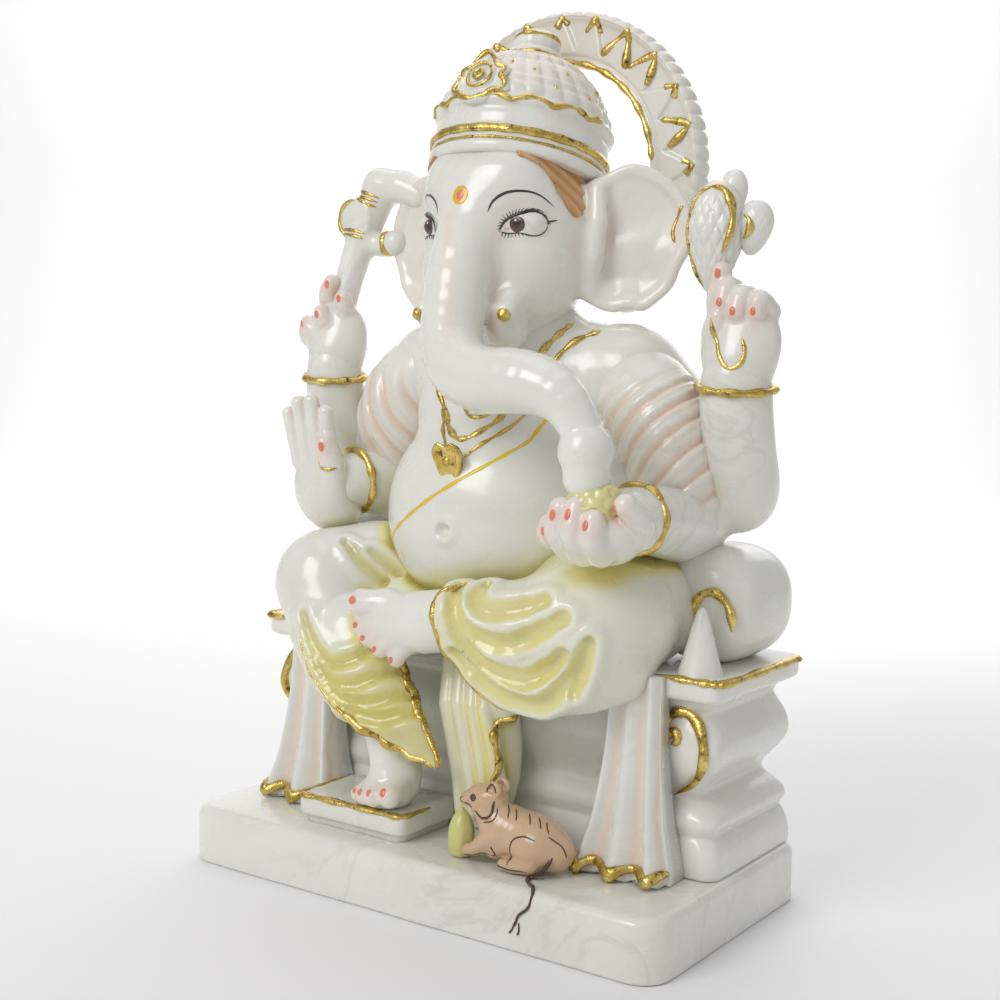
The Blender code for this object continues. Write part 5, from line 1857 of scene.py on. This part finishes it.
# --------------------------------------------------------------------------------------------------- Mouse
# The mouse sits on the plinth with its nose up to the sweet. It is painted tan, with its eye, fur and long
# tail drawn in brown.

MOUSE_PAINT = stone(
    "mouse_paint", (0.68, 0.50, 0.33), (0.60, 0.39, 0.24), vein=0.1, waves=0.8, through=0.05,
)
BROWN_PAINT = stone(
    "brown_paint", (0.10, 0.050, 0.024), (0.06, 0.028, 0.014), vein=0.0, waves=0.5, through=0.0,
)


def mouse_form(p):
    """Back, haunch, head and muzzle melted together, two ears, the forepaws held up and the hind foot."""
    back = (
        (48.6, -33.6, -57, 6.2), (42, -33.5, -54.8, 8.2), (34, -34, -53.4, 8), (27.6, -35, -50, 6.4),
        (24, -36, -46.4, 5.2),
    )
    form = limb(p, back, smooth=14)
    form = melt(form, egg(p, (43, -37, -56), (7.6, 6, 7)), 2)
    form = melt(form, egg(p, (28.6, -38, -56), (5.4, 4.2, 6)), 3)
    form = melt(form, egg(p, (24.6, -36.6, -43.4), (6.6, 4.8, 4.6)), 1.5)
    form = melt(form, limb(p, ((21, -37, -43.6, 3.8), (17.4, -37.6, -44.6, 2.4))), 2)
    for x, y in ((28.6, -39), (28, -33.2)):
        ear = egg(p, (x, y, -39.6), (2.6, 1.4, 2.8))
        form = melt(form, pare(ear, egg(p, (x - 0.8, y - 1.1, -39.4), (1.7, 1.1, 1.8)), 0.5), 1)
    for sway in (-1.4, 1.6):
        paw = seated_line(
            ((27, -39 + sway, -56, 3.0), (22.4, -39 + sway, -59.6, 2.3), (19.4, -38.6 + sway, -60.6, 2.0)),
        )
        form = melt(form, rod(p, paw), 1.2)
    form = melt(form, limb(p, ((44, -40, -61, 2.6), (37, -41, -62, 2.2), (34, -41, -62, 1.9))), 1.4)
    return np.maximum(form, seated(0, 0, -64)[2] - p[..., 2])


mouse = piece(
    "mouse_stone", carve(mouse_form, seated(10, -46, -66), seated(60, -22, -32), VOXEL * 0.65), MOUSE_PAINT,
    ["mouse"],
)
fur = []
for x in (33, 36, 41, 45, 48.4):
    tip = ((x + 1.2, -38.6, -48.6), (x, -37, -46.6), (x - 1.6, -35, -45.4))
    fur.append(gilded(mouse_form, tip, 0.5, 0.16, count=12, lift=0.0, wobble=0))
eye_a = full_turn(20)
for half in (1.15, 0.5):
    ring = half * np.stack([np.cos(eye_a), np.zeros_like(eye_a), np.sin(eye_a)], -1)
    spots, out = laid(mouse_form, seated(21.8, -42, -42.6) + ring)
    fur.append(bead(spots, out, 0.5, 0.2, closed=True, wobble=0))
for line, width in (
    (((36.6, -44, -61), (36.4, -44, -57), (38, -44, -52.6), (42, -43, -50.6), (46, -41, -52.4)), 0.55),
    (((30.6, -42, -43), (29.4, -42.6, -46.4), (25.6, -43, -48.6), (22, -43, -47.4)), 0.9),
    (((31.6, -41, -44.4), (30, -42.6, -48), (26, -43, -49.8)), 0.5),
    (((29, -43.6, -62), (30.8, -43.6, -59.6), (30.4, -43.6, -57)), 0.6),
    (((19, -43, -62.4), (24, -44, -63), (29, -43.6, -61.8)), 0.5),
    (((31, -44, -62), (36, -44.4, -62.8), (44, -43.6, -62.8)), 0.55),
    (((26.4, -42, -40), (27.4, -42.2, -38.4), (29.6, -41.6, -38.4), (30.4, -41.4, -40.4)), 0.5),
    (((17.4, -40.6, -46), (19.4, -41, -45.6), (21.2, -41.6, -46.4)), 0.45),
    (((17, -40, -43.4), (15.8, -39, -44.8), (17, -40, -45.4)), 0.4),
    (((49.6, -39, -50), (53, -37, -53), (54.4, -36, -57)), 0.5),
):
    fur.append(gilded(mouse_form, line, width, 0.18, count=24, lift=0.0, wobble=0))
front_y = plinth_low[1]
tail_knots = (
    (51, -38.6, -55.6), (49.6, -40.4, -60), (46.4, -41.4, -63.0), (44.6, -42.4, -63.7),
    (46.6, -45.6, -63.8), (50, -48, -63.8),
)
tail = bend(seated_line(tail_knots), 40)
over_edge = bend(
    np.array(
        (
            (50, -48, GROUND + 0.1), (51.6, front_y + 1.2, GROUND - 1.0), (51, front_y - 0.1, GROUND - 5),
            (47.5, front_y - 0.1, GROUND - 8.4), (46.4, front_y - 0.1, GROUND - 12),
        ),
    ),
    30,
)
tail_out = np.vstack(
    [np.tile((0, -0.3, 1.0), (40, 1)), np.linspace((0, -0.4, 1.0), (0, -1.0, 0.1), 30)[1:]],
)
tail_width = swell(69, (0, 0.2, 1), (1.8, 1.6, 0.7))
fur.append(bead(np.vstack([tail, over_edge[1:]]), tail_out, tail_width, 0.5, taper=0.05))
for x in (0.9, -0.6):
    whisk = (
        (46.8 + x, front_y - 0.1, GROUND - 10.5), (46.4 + 1.6 * x, front_y - 0.1, GROUND - 13),
        (45.4 + 2 * x, front_y - 0.1, GROUND - 14.6),
    )
    fur.append(bead(bend(whisk, 12), front_way, 0.6, 0.2))
piece("mouse_lines_stone", gathered(fur), BROWN_PAINT)


# ---------------------------------------------------------------------------------------------------- Face
# The painted face: pink-white eyes with brown irises and a painted highlight on each pupil, black lids, lashes
# and brows, and an orange mark with a coral middle on the brow.

EYE_WHITE = stone("eye_white", (0.86, 0.80, 0.76), (0.80, 0.70, 0.66), vein=0.0, waves=0.1, through=0.05)
IRIS_PAINT = stone(
    "iris_paint", (0.13, 0.075, 0.055), (0.07, 0.038, 0.028), vein=0.0, waves=0.1, through=0.0,
)
BLACK_PAINT = stone(
    "black_paint", (0.022, 0.018, 0.016), (0.035, 0.028, 0.024), vein=0.0, waves=0.1, through=0.0,
)
CORAL_PAINT = stone(
    "coral_paint", (0.84, 0.25, 0.17), (0.78, 0.19, 0.13), vein=0.0, waves=0.2, through=0.05,
)
ORANGE_PAINT = stone(
    "orange_paint", (0.86, 0.50, 0.03), (0.80, 0.42, 0.03), vein=0.0, waves=0.2, through=0.05,
)


UNDER_SKIN = 0.12
DAB_ROWS = (1, 1, 0.94, 0.7, 0.4, 0.12)


def dab(form, outline, lift):
    """A patch of thick paint on a form: its outline drawn in towards its middle row by row, every row laid
    on the form, and raised from just under the skin at the edge to its full thickness."""
    outline = np.asarray(outline, float)
    middle = outline.mean(axis=0)
    rings = []
    for n, share in enumerate(DAB_ROWS):
        path, out = laid(form, middle + share * (outline - middle))
        rings.append(path + (-UNDER_SKIN if n == 0 else lift * min(1, 0.3 * n)) * out)
    return skin(np.stack(rings))


OVAL_POINTS = 24


def oval(form, centre, along, half_along, half_across):
    """An oval outline round a point of a form, its long way along a direction."""
    spot, out = laid(form, np.array([centre], float))
    spot, out = spot[0], out[0]
    long_way = np.asarray(along, float) - np.dot(along, out) * out
    long_way /= np.linalg.norm(long_way)
    cross_way = np.cross(out, long_way)
    a = full_turn(OVAL_POINTS)[:, None]
    return spot + half_along * np.cos(a) * long_way + half_across * np.sin(a) * cross_way


def mirrored(knots, sign):
    """Knots given above the seat for the left side, turned to the side asked for."""
    made = seated_line(knots)
    made[:, 0] *= sign
    return made


UPPER_LID = (
    (11.8, -20.6, 136.8), (13, -19.9, 139.6), (15, -18.5, 141.5), (17.4, -16.6, 142), (19.8, -14, 141),
    (21.8, -11.4, 139.5),
)
LOWER_LID = (
    (21.8, -11.4, 139.5), (19.8, -14, 138), (17.4, -16.6, 136.9), (14.6, -18.7, 136.3), (11.8, -20.6, 136.8),
)
BROW = (
    (8.6, -22.6, 142.4), (10, -21, 146.4), (13.4, -18.2, 149.6), (17, -15.4, 150.2), (20.6, -12.2, 148.8),
    (24.4, -7.8, 145.2),
)
whites, irises, blacks, lights, orange, coral = [], [], [], [], [], []
for sign in (1, -1):
    upper, lower, brow = (bend(mirrored(knots, sign), 40) for knots in (UPPER_LID, LOWER_LID, BROW))
    whites.append(dab(head_form, np.vstack([upper[:-1], lower[:-1]]), 0.10))
    pupil = mirrored(((17.3, -16.6, 139.5),), sign)[0]
    across_eye = (sign * 0.6, 0.6, 0)
    irises.append(dab(head_form, oval(head_form, pupil, across_eye, 2.7, 2.7), 0.17))
    blacks.append(dab(head_form, oval(head_form, pupil, across_eye, 1.45, 1.45), 0.23))
    # A painted highlight: a white dot on each pupil.
    lights.append(dab(head_form, oval(head_form, pupil + (-0.6, 0, 0.9), across_eye, 0.42, 0.42), 0.30))
    widths = swell(40, (0, 0.3, 0.8, 1), (0.5, 1.1, 1.3, 0.7))
    for line, width, high in (
        (upper, widths, 0.3), (lower, 0.45, 0.2), (brow, swell(40, (0, 0.3, 1), (0.5, 1.0, 0.4)), 0.16),
    ):
        path, out = laid(head_form, line)
        blacks.append(bead(path, out, width, high, wobble=0, sides=6))
    middle = mirrored(((17.4, -16.6, 139.6),), sign)[0]
    tail = bend(mirrored(((21.2, -12, 139.8), (23.2, -9.6, 140.4), (25.2, -7, 141.2)), sign), 12)
    path, out = laid(head_form, tail)
    blacks.append(bead(path, out, np.linspace(1.1, 0.4, 12), 0.25, sides=6, wobble=0))
    for lid, reach, picks in ((upper, 2.1, range(4, 40, 2)), (lower, 1.3, range(2, 36, 3))):
        for n in picks:
            away = (lid[n] - middle) * (1, 1, 2.4)
            away = away / np.linalg.norm(away) + np.array((sign * 0.2, 0.15, 0))
            lash = lid[n] + np.linspace(0, 1, 7)[:, None] * reach * (1 + 0.5 * n / 40) * away
            path, out = laid(head_form, lash)
            blacks.append(bead(path, out, np.linspace(0.46, 0.16, 7), 0.16, sides=6, wobble=0, taper=0.02))
orange.append(dab(head_form, oval(head_form, seated(0.6, -26, 148.2), (0, 0, 1), 3.2, 2.9), 0.2))
coral.append(dab(head_form, oval(head_form, seated(0.6, -26, 148.2), (0, 0, 1), 1.8, 1.5), 0.3))
piece("eye_white_stone", gathered(whites), EYE_WHITE)
piece("iris_stone", gathered(irises), IRIS_PAINT)
piece("lid_and_lash_stone", gathered(blacks), BLACK_PAINT)
piece("eye_highlight_stone", gathered(lights), EYE_WHITE)
piece("brow_mark_stone", gathered(orange), ORANGE_PAINT)


# --------------------------------------------------------------------------------------------------- Nails
# Coral paint on every nail, raised a little with a sharp rim, and the small gilded rings on hands and tusks.
# The coral middle of the brow mark is part of the same piece.

right_front_form, left_front_form = hands["right_front_hand"][1], hands["left_front_hand"][1]
NAILS = (
    (left_foot_form, (-24.4, -48, 16.4), (-1, 0, 0), 2.4, 2.0),
    (left_foot_form, (-23.6, -48, 8.2), (-1, 0, -0.3), 1.7, 1.5),
    (left_foot_form, (-20.2, -48, 4.0), (-1, 0, -0.5), 1.6, 1.3),
    (left_foot_form, (-15.8, -48, 0.6), (-0.7, 0, -0.7), 1.6, 1.3),
    (left_foot_form, (-9.2, -47.6, -2.2), (-0.5, 0, -1), 1.6, 1.3),
    (right_foot_form, (-11.6, -45.4, -46.4), (0, -1, 0.3), 2.0, 1.6),
    (right_foot_form, (-17, -46, -47.4), (0, -1, 0.3), 1.6, 1.2),
    (right_foot_form, (-21.2, -45.4, -48), (0, -1, 0.3), 1.5, 1.2),
    (right_foot_form, (-25, -43.6, -48.6), (0, -1, 0.3), 1.4, 1.1),
    (right_foot_form, (-28, -40.6, -49.4), (-0.3, -1, 0.3), 1.2, 1.0),
    (left_front_form, (49.6, -49, 45.4), (0, 0, 1), 1.7, 1.3),
    (left_front_form, (54.4, -50, 50.8), (0, 0, 1), 2.0, 1.5),
    (left_front_form, (60.2, -51, 51.4), (0, 0, 1), 2.0, 1.5),
    (left_front_form, (66.2, -51, 48.6), (0, 0, 1), 1.9, 1.5),
    (left_front_form, (73, -45, 53.6), (-0.5, -1, 0.6), 2.0, 1.6),
    (right_front_form, (-62.6, -20, 63.4), (-0.2, 0, 1), 2.0, 1.6),
    (left_fist, (77, 5, 124.6), (0, 0, 1), 1.9, 1.4),
    (left_fist, (79.2, 3, 115.6), (0, -0.2, -1), 1.8, 1.4),
    (left_fist, (84.2, 2, 112.8), (0, -0.2, -1), 1.8, 1.4),
    (left_fist, (90.2, 4, 112.8), (0, -0.2, -1), 1.6, 1.3),
    (right_fist, (-79.8, 1, 121.6), (0.1, 0, 1), 1.8, 1.3),
    (right_fist, (-73.2, 0, 116.4), (0.1, 0, 1), 1.8, 1.3),
    (right_fist, (-81.4, -3, 110.6), (-0.2, -0.2, 1), 1.7, 1.3),
    (right_fist, (-91.4, 0, 107), (-0.5, -0.2, 1), 1.6, 1.2),
)
for form, centre, along, long_half, wide_half in NAILS:
    coral.append(dab(form, oval(form, seated(*centre), along, 0.86 * long_half, 0.74 * wide_half), 0.22))
piece("nail_stone", gathered(coral), CORAL_PAINT)

rings_of_gold = [
    gilded(
        right_front_form, ((-66.4, -20, 57.6), (-64.4, -20, 55.6), (-61.8, -19.4, 55.2), (-58.4, -16, 56)),
        1.3, 0.5, count=24,
    ),
    gilded(
        left_fist,
        (
            (76.6, 2, 111), (78.4, 2, 105), (80.6, 2, 99), (84, 3, 95), (87.4, 4, 97), (88.4, 4, 101),
            (87.6, 3, 105),
        ),
        1.6, 0.6, count=50,
    ),
    gilded(right_fist, ((-88, 0, 92), (-84.6, -2, 90.6), (-80, -2, 91), (-78, -1, 93)), 1.4, 0.5, count=30),
]
tusk_rings = [
    collar(seated(sign * x, y, z), (sign * 0.2, -0.95, -0.3), half, wide, high, count=32)
    for x, y, z, half, wide, high in (
        (16.4, -21.2, 111.2, 3.0, 1.1, 0.6), (16.9, -23.0, 110.5, 2.7, 0.8, 0.5),
    )
    for sign in (1, -1)
]
ear_line = gilded(
    lambda p: ear_form(p, 1), ((58.7, 17, 147), (56.5, 16.5, 144), (55, 16, 139), (56, 16, 135)), 1.4, 0.4,
    count=24,
)
gilding("small_gilding", gathered(rings_of_gold + tusk_rings + [ear_line]))


# -------------------------------------------------------------------------------------------------- Washes and painted shade
# Thin transparent colour is brushed on last: yellow on the dhoti, peach on the shawls, and pink round the
# nails, on the trunk and in the ears. Painted shade is laid into the hollows as well, more where they are more
# shut in and none on the high places: yellow and olive on the dhoti, body and sash, pink between fingers and
# toes and in the creases of the head, and brown in the mouse's creases.

# Olive is painted shade only; yellow and pink are paint in some places and painted shade in others.
YELLOW, SHADE_OLIVE, PINK = (0.80, 0.73, 0.26), (0.40, 0.34, 0.06), (0.84, 0.50, 0.42)


def gap_round(made, forms, reach):
    """How shut in each vertex is, which sets how much painted shade it takes: 1 less the distance from a point
    out along its normal, over the reach.
    """
    where = points_of(made)
    out = np.empty(3 * len(where), np.float32)
    made.data.vertex_normals.foreach_get("vector", out)
    out = out.reshape(-1, 3).astype(float)
    ahead = (where + reach * out).astype(np.float32)
    nearest = np.min([form(ahead) for form in forms], axis=0)
    return np.clip(1 - nearest / reach, 0, 1)


def bell(distance, reach):
    """1 at no distance, falling as e to the power of less the square of distance over reach."""
    return np.exp(-((distance / reach) ** 2))


def along(where, line, reach):
    """1 on a line, fading to nothing beyond the reach, as a bell."""
    path = bend(seated_line(line), 24)
    near = np.min([np.linalg.norm(where - spot, axis=1) for spot in path], axis=0)
    return bell(near, reach)


def ramp(value, low, high):
    """0 at the low end, 1 at the high end and a straight rise between; low may be the greater."""
    return np.clip((value - low) / (high - low), 0, 1)


def pink_tips_and_shade(made, form, at_nails, reach, shade_in_gaps, gap):
    """Pink paint round every nail of a hand or foot, fading over the reach, and pink painted shade in creases
    below the gap.
    """
    where = points_of(made)
    tips = np.zeros(len(where))
    for nail_form, centre, *_ in NAILS:
        if nail_form is form:
            tips = np.maximum(tips, bell(np.linalg.norm(where - seated(*centre), axis=1), reach))
    brush(made, PINK, at_nails * tips + shade_in_gaps * ramp(gap_round(made, [form], gap), 0.35, 0.95))


lap = [body_form, right_dhoti_form, left_cloth, left_foot_form, cupped_hand, flat_hand]
for made, form, near_form in (
    (right_leg, right_dhoti_form, right_folds_near), (left_leg, left_cloth, left_folds_near),
):
    where = points_of(made)
    near = near_form(where.astype(np.float32))
    # How shut in each vertex is by the lap, wide and close, for the painted shade below.
    shut = gap_round(made, lap, 6)
    deep = gap_round(made, lap, 3)
    low_down = ramp(where[:, 2] - SEAT, 12, -16) if made is right_leg else 0.35
    brush(made, YELLOW, (0.45 + 0.4 * low_down) * bell(near, 2.6 + 1.5 * low_down) + 0.34 * low_down)
    # Yellow painted shade where the cloth is shut in by the body, the legs, the left foot and the front hands.
    brush(made, YELLOW, 0.85 * ramp(shut, 0.15, 0.7))
    # Olive painted shade in the fold lines and the closest gaps, and darker towards the bottom of the right
    # leg.
    olive_shade = 0.62 * bell(near, 1.5) + 0.8 * ramp(deep, 0.3, 0.95) + 0.14 * (low_down > 0.35) * low_down
    brush(made, SHADE_OLIVE, olive_shade)
where = points_of(right_leg)
hem_band = along(where, ((-28, -48, -20), (-18, -45, -27), (-6, -40, -33), (5, -39, -36)), 7)
inner_band = along(where, ((-8, -36, -8), (-2, -38, -16), (2, -39, -28)), 8)
brush(right_leg, YELLOW, 0.6 * np.maximum(hem_band, inner_band))
# Yellow paint along the dhoti's rolled edge, deepened as painted shade under the belly.
belt_line = ((-30, -10, 12), (-20, -22, 12), (-6, -30, 12), (8, -30, 12), (22, -22, 12), (32, -8, 14))
brush(right_leg, YELLOW, 0.55 * along(where, belt_line, 7))
# Olive painted shade in the lowest fold.
lowest_fold = ((-26, -48, -17), (-18, -46, -22), (-6, -42, -28), (4, -39.6, -33))
brush(right_leg, SHADE_OLIVE, 0.35 * along(where, lowest_fold, 4))
where = points_of(left_leg)
brush(left_leg, YELLOW, 0.55 * along(where, ((14, -40, 20), (14, -44, 12), (13, -42, 2), (20, -40, -8)), 6))
# Yellow painted shade along the top of the left thigh, under the belly.
brush(left_leg, YELLOW, 0.5 * along(where, ((30, -26, 31), (44, -26, 34), (58, -26, 33)), 8))
# Painted shade on the body: yellow where the belly is shut in by the lap and in the body's own creases, olive
# in the closest gaps low down.
shut = gap_round(body, lap, 7)
where = points_of(body)
level = where[:, 2] - SEAT
body_crease_shade = ramp(gap_round(body, [body_form], 9), 0.3, 0.9)
brush(body, YELLOW, 0.9 * ramp(shut, 0.1, 0.75) * ramp(level, 34, 16) + 0.22 * body_crease_shade)
brush(body, SHADE_OLIVE, 0.75 * ramp(gap_round(body, lap, 4), 0.25, 0.95) * ramp(level, 36, 14))
# Yellow painted shade under the left front forearm.
brush(body, YELLOW, 0.4 * along(where, ((52, -6, 38), (62, -20, 38), (70, -28, 40)), 8))
where = points_of(sash)
# How shut in the sash's hollows are, for its painted shade.
hollow = ramp(gap_round(sash, [sash_form], 3.4), 0.12, 0.6)
sash_lines = np.maximum(
    along(where, ((8.4, -29, -6), (10.6, -29.6, -18), (13, -29.4, -32), (14.6, -28, -48)), 1.0),
    along(where, ((13, -28, -10), (15, -28.6, -20), (17.4, -28.6, -30), (19, -28, -40)), 1.0),
)
sash_pool = along(where, ((17, -28, -24), (19, -28, -34), (18, -28, -42)), 3)
# Yellow paint over the sash, along its lines and down its outer corner, with yellow painted shade in its
# hollows.
brush(sash, YELLOW, 0.28 + 0.75 * hollow + 0.9 * sash_lines + 0.5 * sash_pool)
# Olive painted shade in the deepest hollows.
brush(sash, SHADE_OLIVE, 0.55 * ramp(hollow, 0.5, 1))
for made, ridge, fade in shawls:
    where = points_of(made).astype(np.float32)
    brush(made, PEACH, (0.10 + 0.62 * (1 - ridge(where)) ** 1.3) * fade(where))
# Pink paint at the fingertips and pink painted shade between the fingers.
for made, form in hands.values():
    pink_tips_and_shade(made, form, 0.38, 6, 0.5, 2.5)
left_front_hand = hands["left_front_hand"][0]
# Yellow painted shade, darker towards the bottom of the cupped hand.
brush(left_front_hand, YELLOW, 0.5 * ramp(points_of(left_front_hand)[:, 2] - SEAT, 42, 34))
# Pink paint at the toes and pink painted shade between them.
for made, form in ((left_foot, left_foot_form), (right_foot, right_foot_form)):
    pink_tips_and_shade(made, form, 0.35, 5, 0.55, 2)
# Yellow painted shade where the left foot is shut in by the lap.
brush(left_foot, YELLOW, 0.5 * ramp(gap_round(left_foot, lap, 4), 0.4, 1))
where = points_of(head)
in_ear = np.maximum(*[bell(ear_form(where.astype(np.float32), sign), 1.5) for sign in (1, -1)])
# Pink paint in the ears, and pink painted shade in the creases of the head.
head_crease_shade = ramp(gap_round(head, [head_and_ears], 6), 0.3, 0.9)
brush(head, PINK, 0.11 * in_ear * ramp(np.abs(where[:, 0]), 30, 44) + 0.25 * head_crease_shade)
trunk_line = ((-1.6, -29, 141), (2.8, -35, 129), (6, -38.5, 118), (9, -43, 106))
brush(head, PINK, 0.30 * along(where, trunk_line, 2.2))
# Pink painted shade over the upper lid of the left eye.
brush(head, PINK, 0.22 * along(where, ((12.4, -21, 137.3), (17, -17.6, 145), (23, -10, 143)), 3.2))
where = points_of(crown)
brush(crown, PEACH, 0.22 * ramp(where[:, 2] - SEAT, 176, 190))
where = points_of(halo)
brush(halo, PEACH, 0.22 * ramp(-where[:, 1], -40, -28) * (0.4 + 0.6 * ramp(where[:, 2], 250, 300)))
# Brown painted shade in the mouse's creases.
brush(mouse, (0.40, 0.20, 0.10), 0.5 * ramp(gap_round(mouse, [mouse_form], 2.5), 0.3, 0.9))


# ------------------------------------------------------------------------------------ Floor, light, camera
# A pale floor that curves up behind, a large soft light in front on the left, weaker ones on the right and
# above, and the camera.

FLOOR_REACH, FLOOR_RISE, FLOOR_BEND, FLOOR_HALF_WIDTH = 1.6, 1.5, 0.5, 2.4
flat = np.linspace(-FLOOR_REACH, FLOOR_REACH, 8)
curve = np.radians(np.linspace(0, 90, 16))
depth = np.concatenate([flat, FLOOR_REACH + FLOOR_BEND * np.sin(curve[1:]), [FLOOR_REACH + FLOOR_BEND]])
rise = np.concatenate([np.zeros(8), FLOOR_BEND * (1 - np.cos(curve[1:])), [FLOOR_RISE]])
floor_points = [(x, y, z) for y, z in zip(depth, rise) for x in (-FLOOR_HALF_WIDTH, FLOOR_HALF_WIDTH)]
floor_faces = [(2 * i, 2 * i + 1, 2 * i + 3, 2 * i + 2) for i in range(len(depth) - 1)]
floor_mesh = bpy.data.meshes.new("floor")
floor_mesh.from_pydata(floor_points, [], floor_faces)
floor_mesh.shade_smooth()
floor = bpy.data.objects.new("floor", floor_mesh)
bpy.context.scene.collection.objects.link(floor)
YAW, PITCH, ROLL = (math.radians(a) for a in (34.4, 5.4, 1.5))
floor_mesh.transform(Matrix.Rotation(YAW, 4, "Z"))
floor_coat = bpy.data.materials.new("floor")
floor_coat.use_nodes = True
paper = floor_coat.node_tree.nodes["Principled BSDF"]
paper.inputs["Base Color"].default_value = (0.88, 0.88, 0.87, 1)
paper.inputs["Roughness"].default_value = 0.7
floor_mesh.materials.append(floor_coat)
floor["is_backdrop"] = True

TARGET = Vector((0.0008, 0.0005, 0.1323))
DISTANCE = 0.523
LENS_MM, SENSOR_MM = 55, 36
forward = Vector((-math.sin(YAW) * math.cos(PITCH), math.cos(YAW) * math.cos(PITCH), -math.sin(PITCH)))
right = forward.cross(Vector((0, 0, 1))).normalized()
upward = right.cross(forward)
rolled_right = right * math.cos(ROLL) + upward * math.sin(ROLL)
rolled_up = -right * math.sin(ROLL) + upward * math.cos(ROLL)
eye = TARGET - DISTANCE * forward
lens = bpy.data.cameras.new("camera")
lens.lens = LENS_MM
lens.sensor_width = SENSOR_MM
lens.clip_start = 0.01
camera = bpy.data.objects.new("camera", lens)
camera.matrix_world = Matrix(
    (
        (rolled_right[0], rolled_up[0], -forward[0], eye[0]),
        (rolled_right[1], rolled_up[1], -forward[1], eye[1]),
        (rolled_right[2], rolled_up[2], -forward[2], eye[2]),
        (0, 0, 0, 1),
    ),
)
bpy.context.scene.collection.objects.link(camera)
bpy.context.scene.camera = camera


def soft_light(name, place, size, power, aim=TARGET):
    """A square soft box at a place given right, back and up from the camera's side, pointing at the
    figure."""
    lamp = bpy.data.lights.new(name, "AREA")
    lamp.shape, lamp.size, lamp.energy = "SQUARE", size, power
    made = bpy.data.objects.new(name, lamp)
    spot = Matrix.Rotation(YAW, 4, "Z") @ Vector(place)
    made.location = spot
    made.rotation_euler = (aim - spot).to_track_quat("-Z", "Y").to_euler()
    bpy.context.scene.collection.objects.link(made)


soft_light("key", (-0.75, -0.75, 0.85), 0.6, 6.4)
soft_light("fill", (1.1, -0.6, 0.5), 1.0, 0.7)
soft_light("top", (0.0, 0.1, 1.2), 0.9, 2.0)
soft_light("back", (0.5, 1.0, 0.8), 0.7, 1.6)
soft_light("wall", (0.0, 1.0, 1.5), 1.2, 22.0, Matrix.Rotation(YAW, 4, "Z") @ Vector((0, 2.1, 0.5)))
sky = bpy.data.worlds.new("studio")
sky.use_nodes = True
sky.node_tree.nodes["Background"].inputs["Color"].default_value = (1.0, 1.0, 0.99, 1)
sky.node_tree.nodes["Background"].inputs["Strength"].default_value = 0.42
bpy.context.scene.world = sky
bpy.context.scene.view_settings.view_transform = "Standard"

low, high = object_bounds()
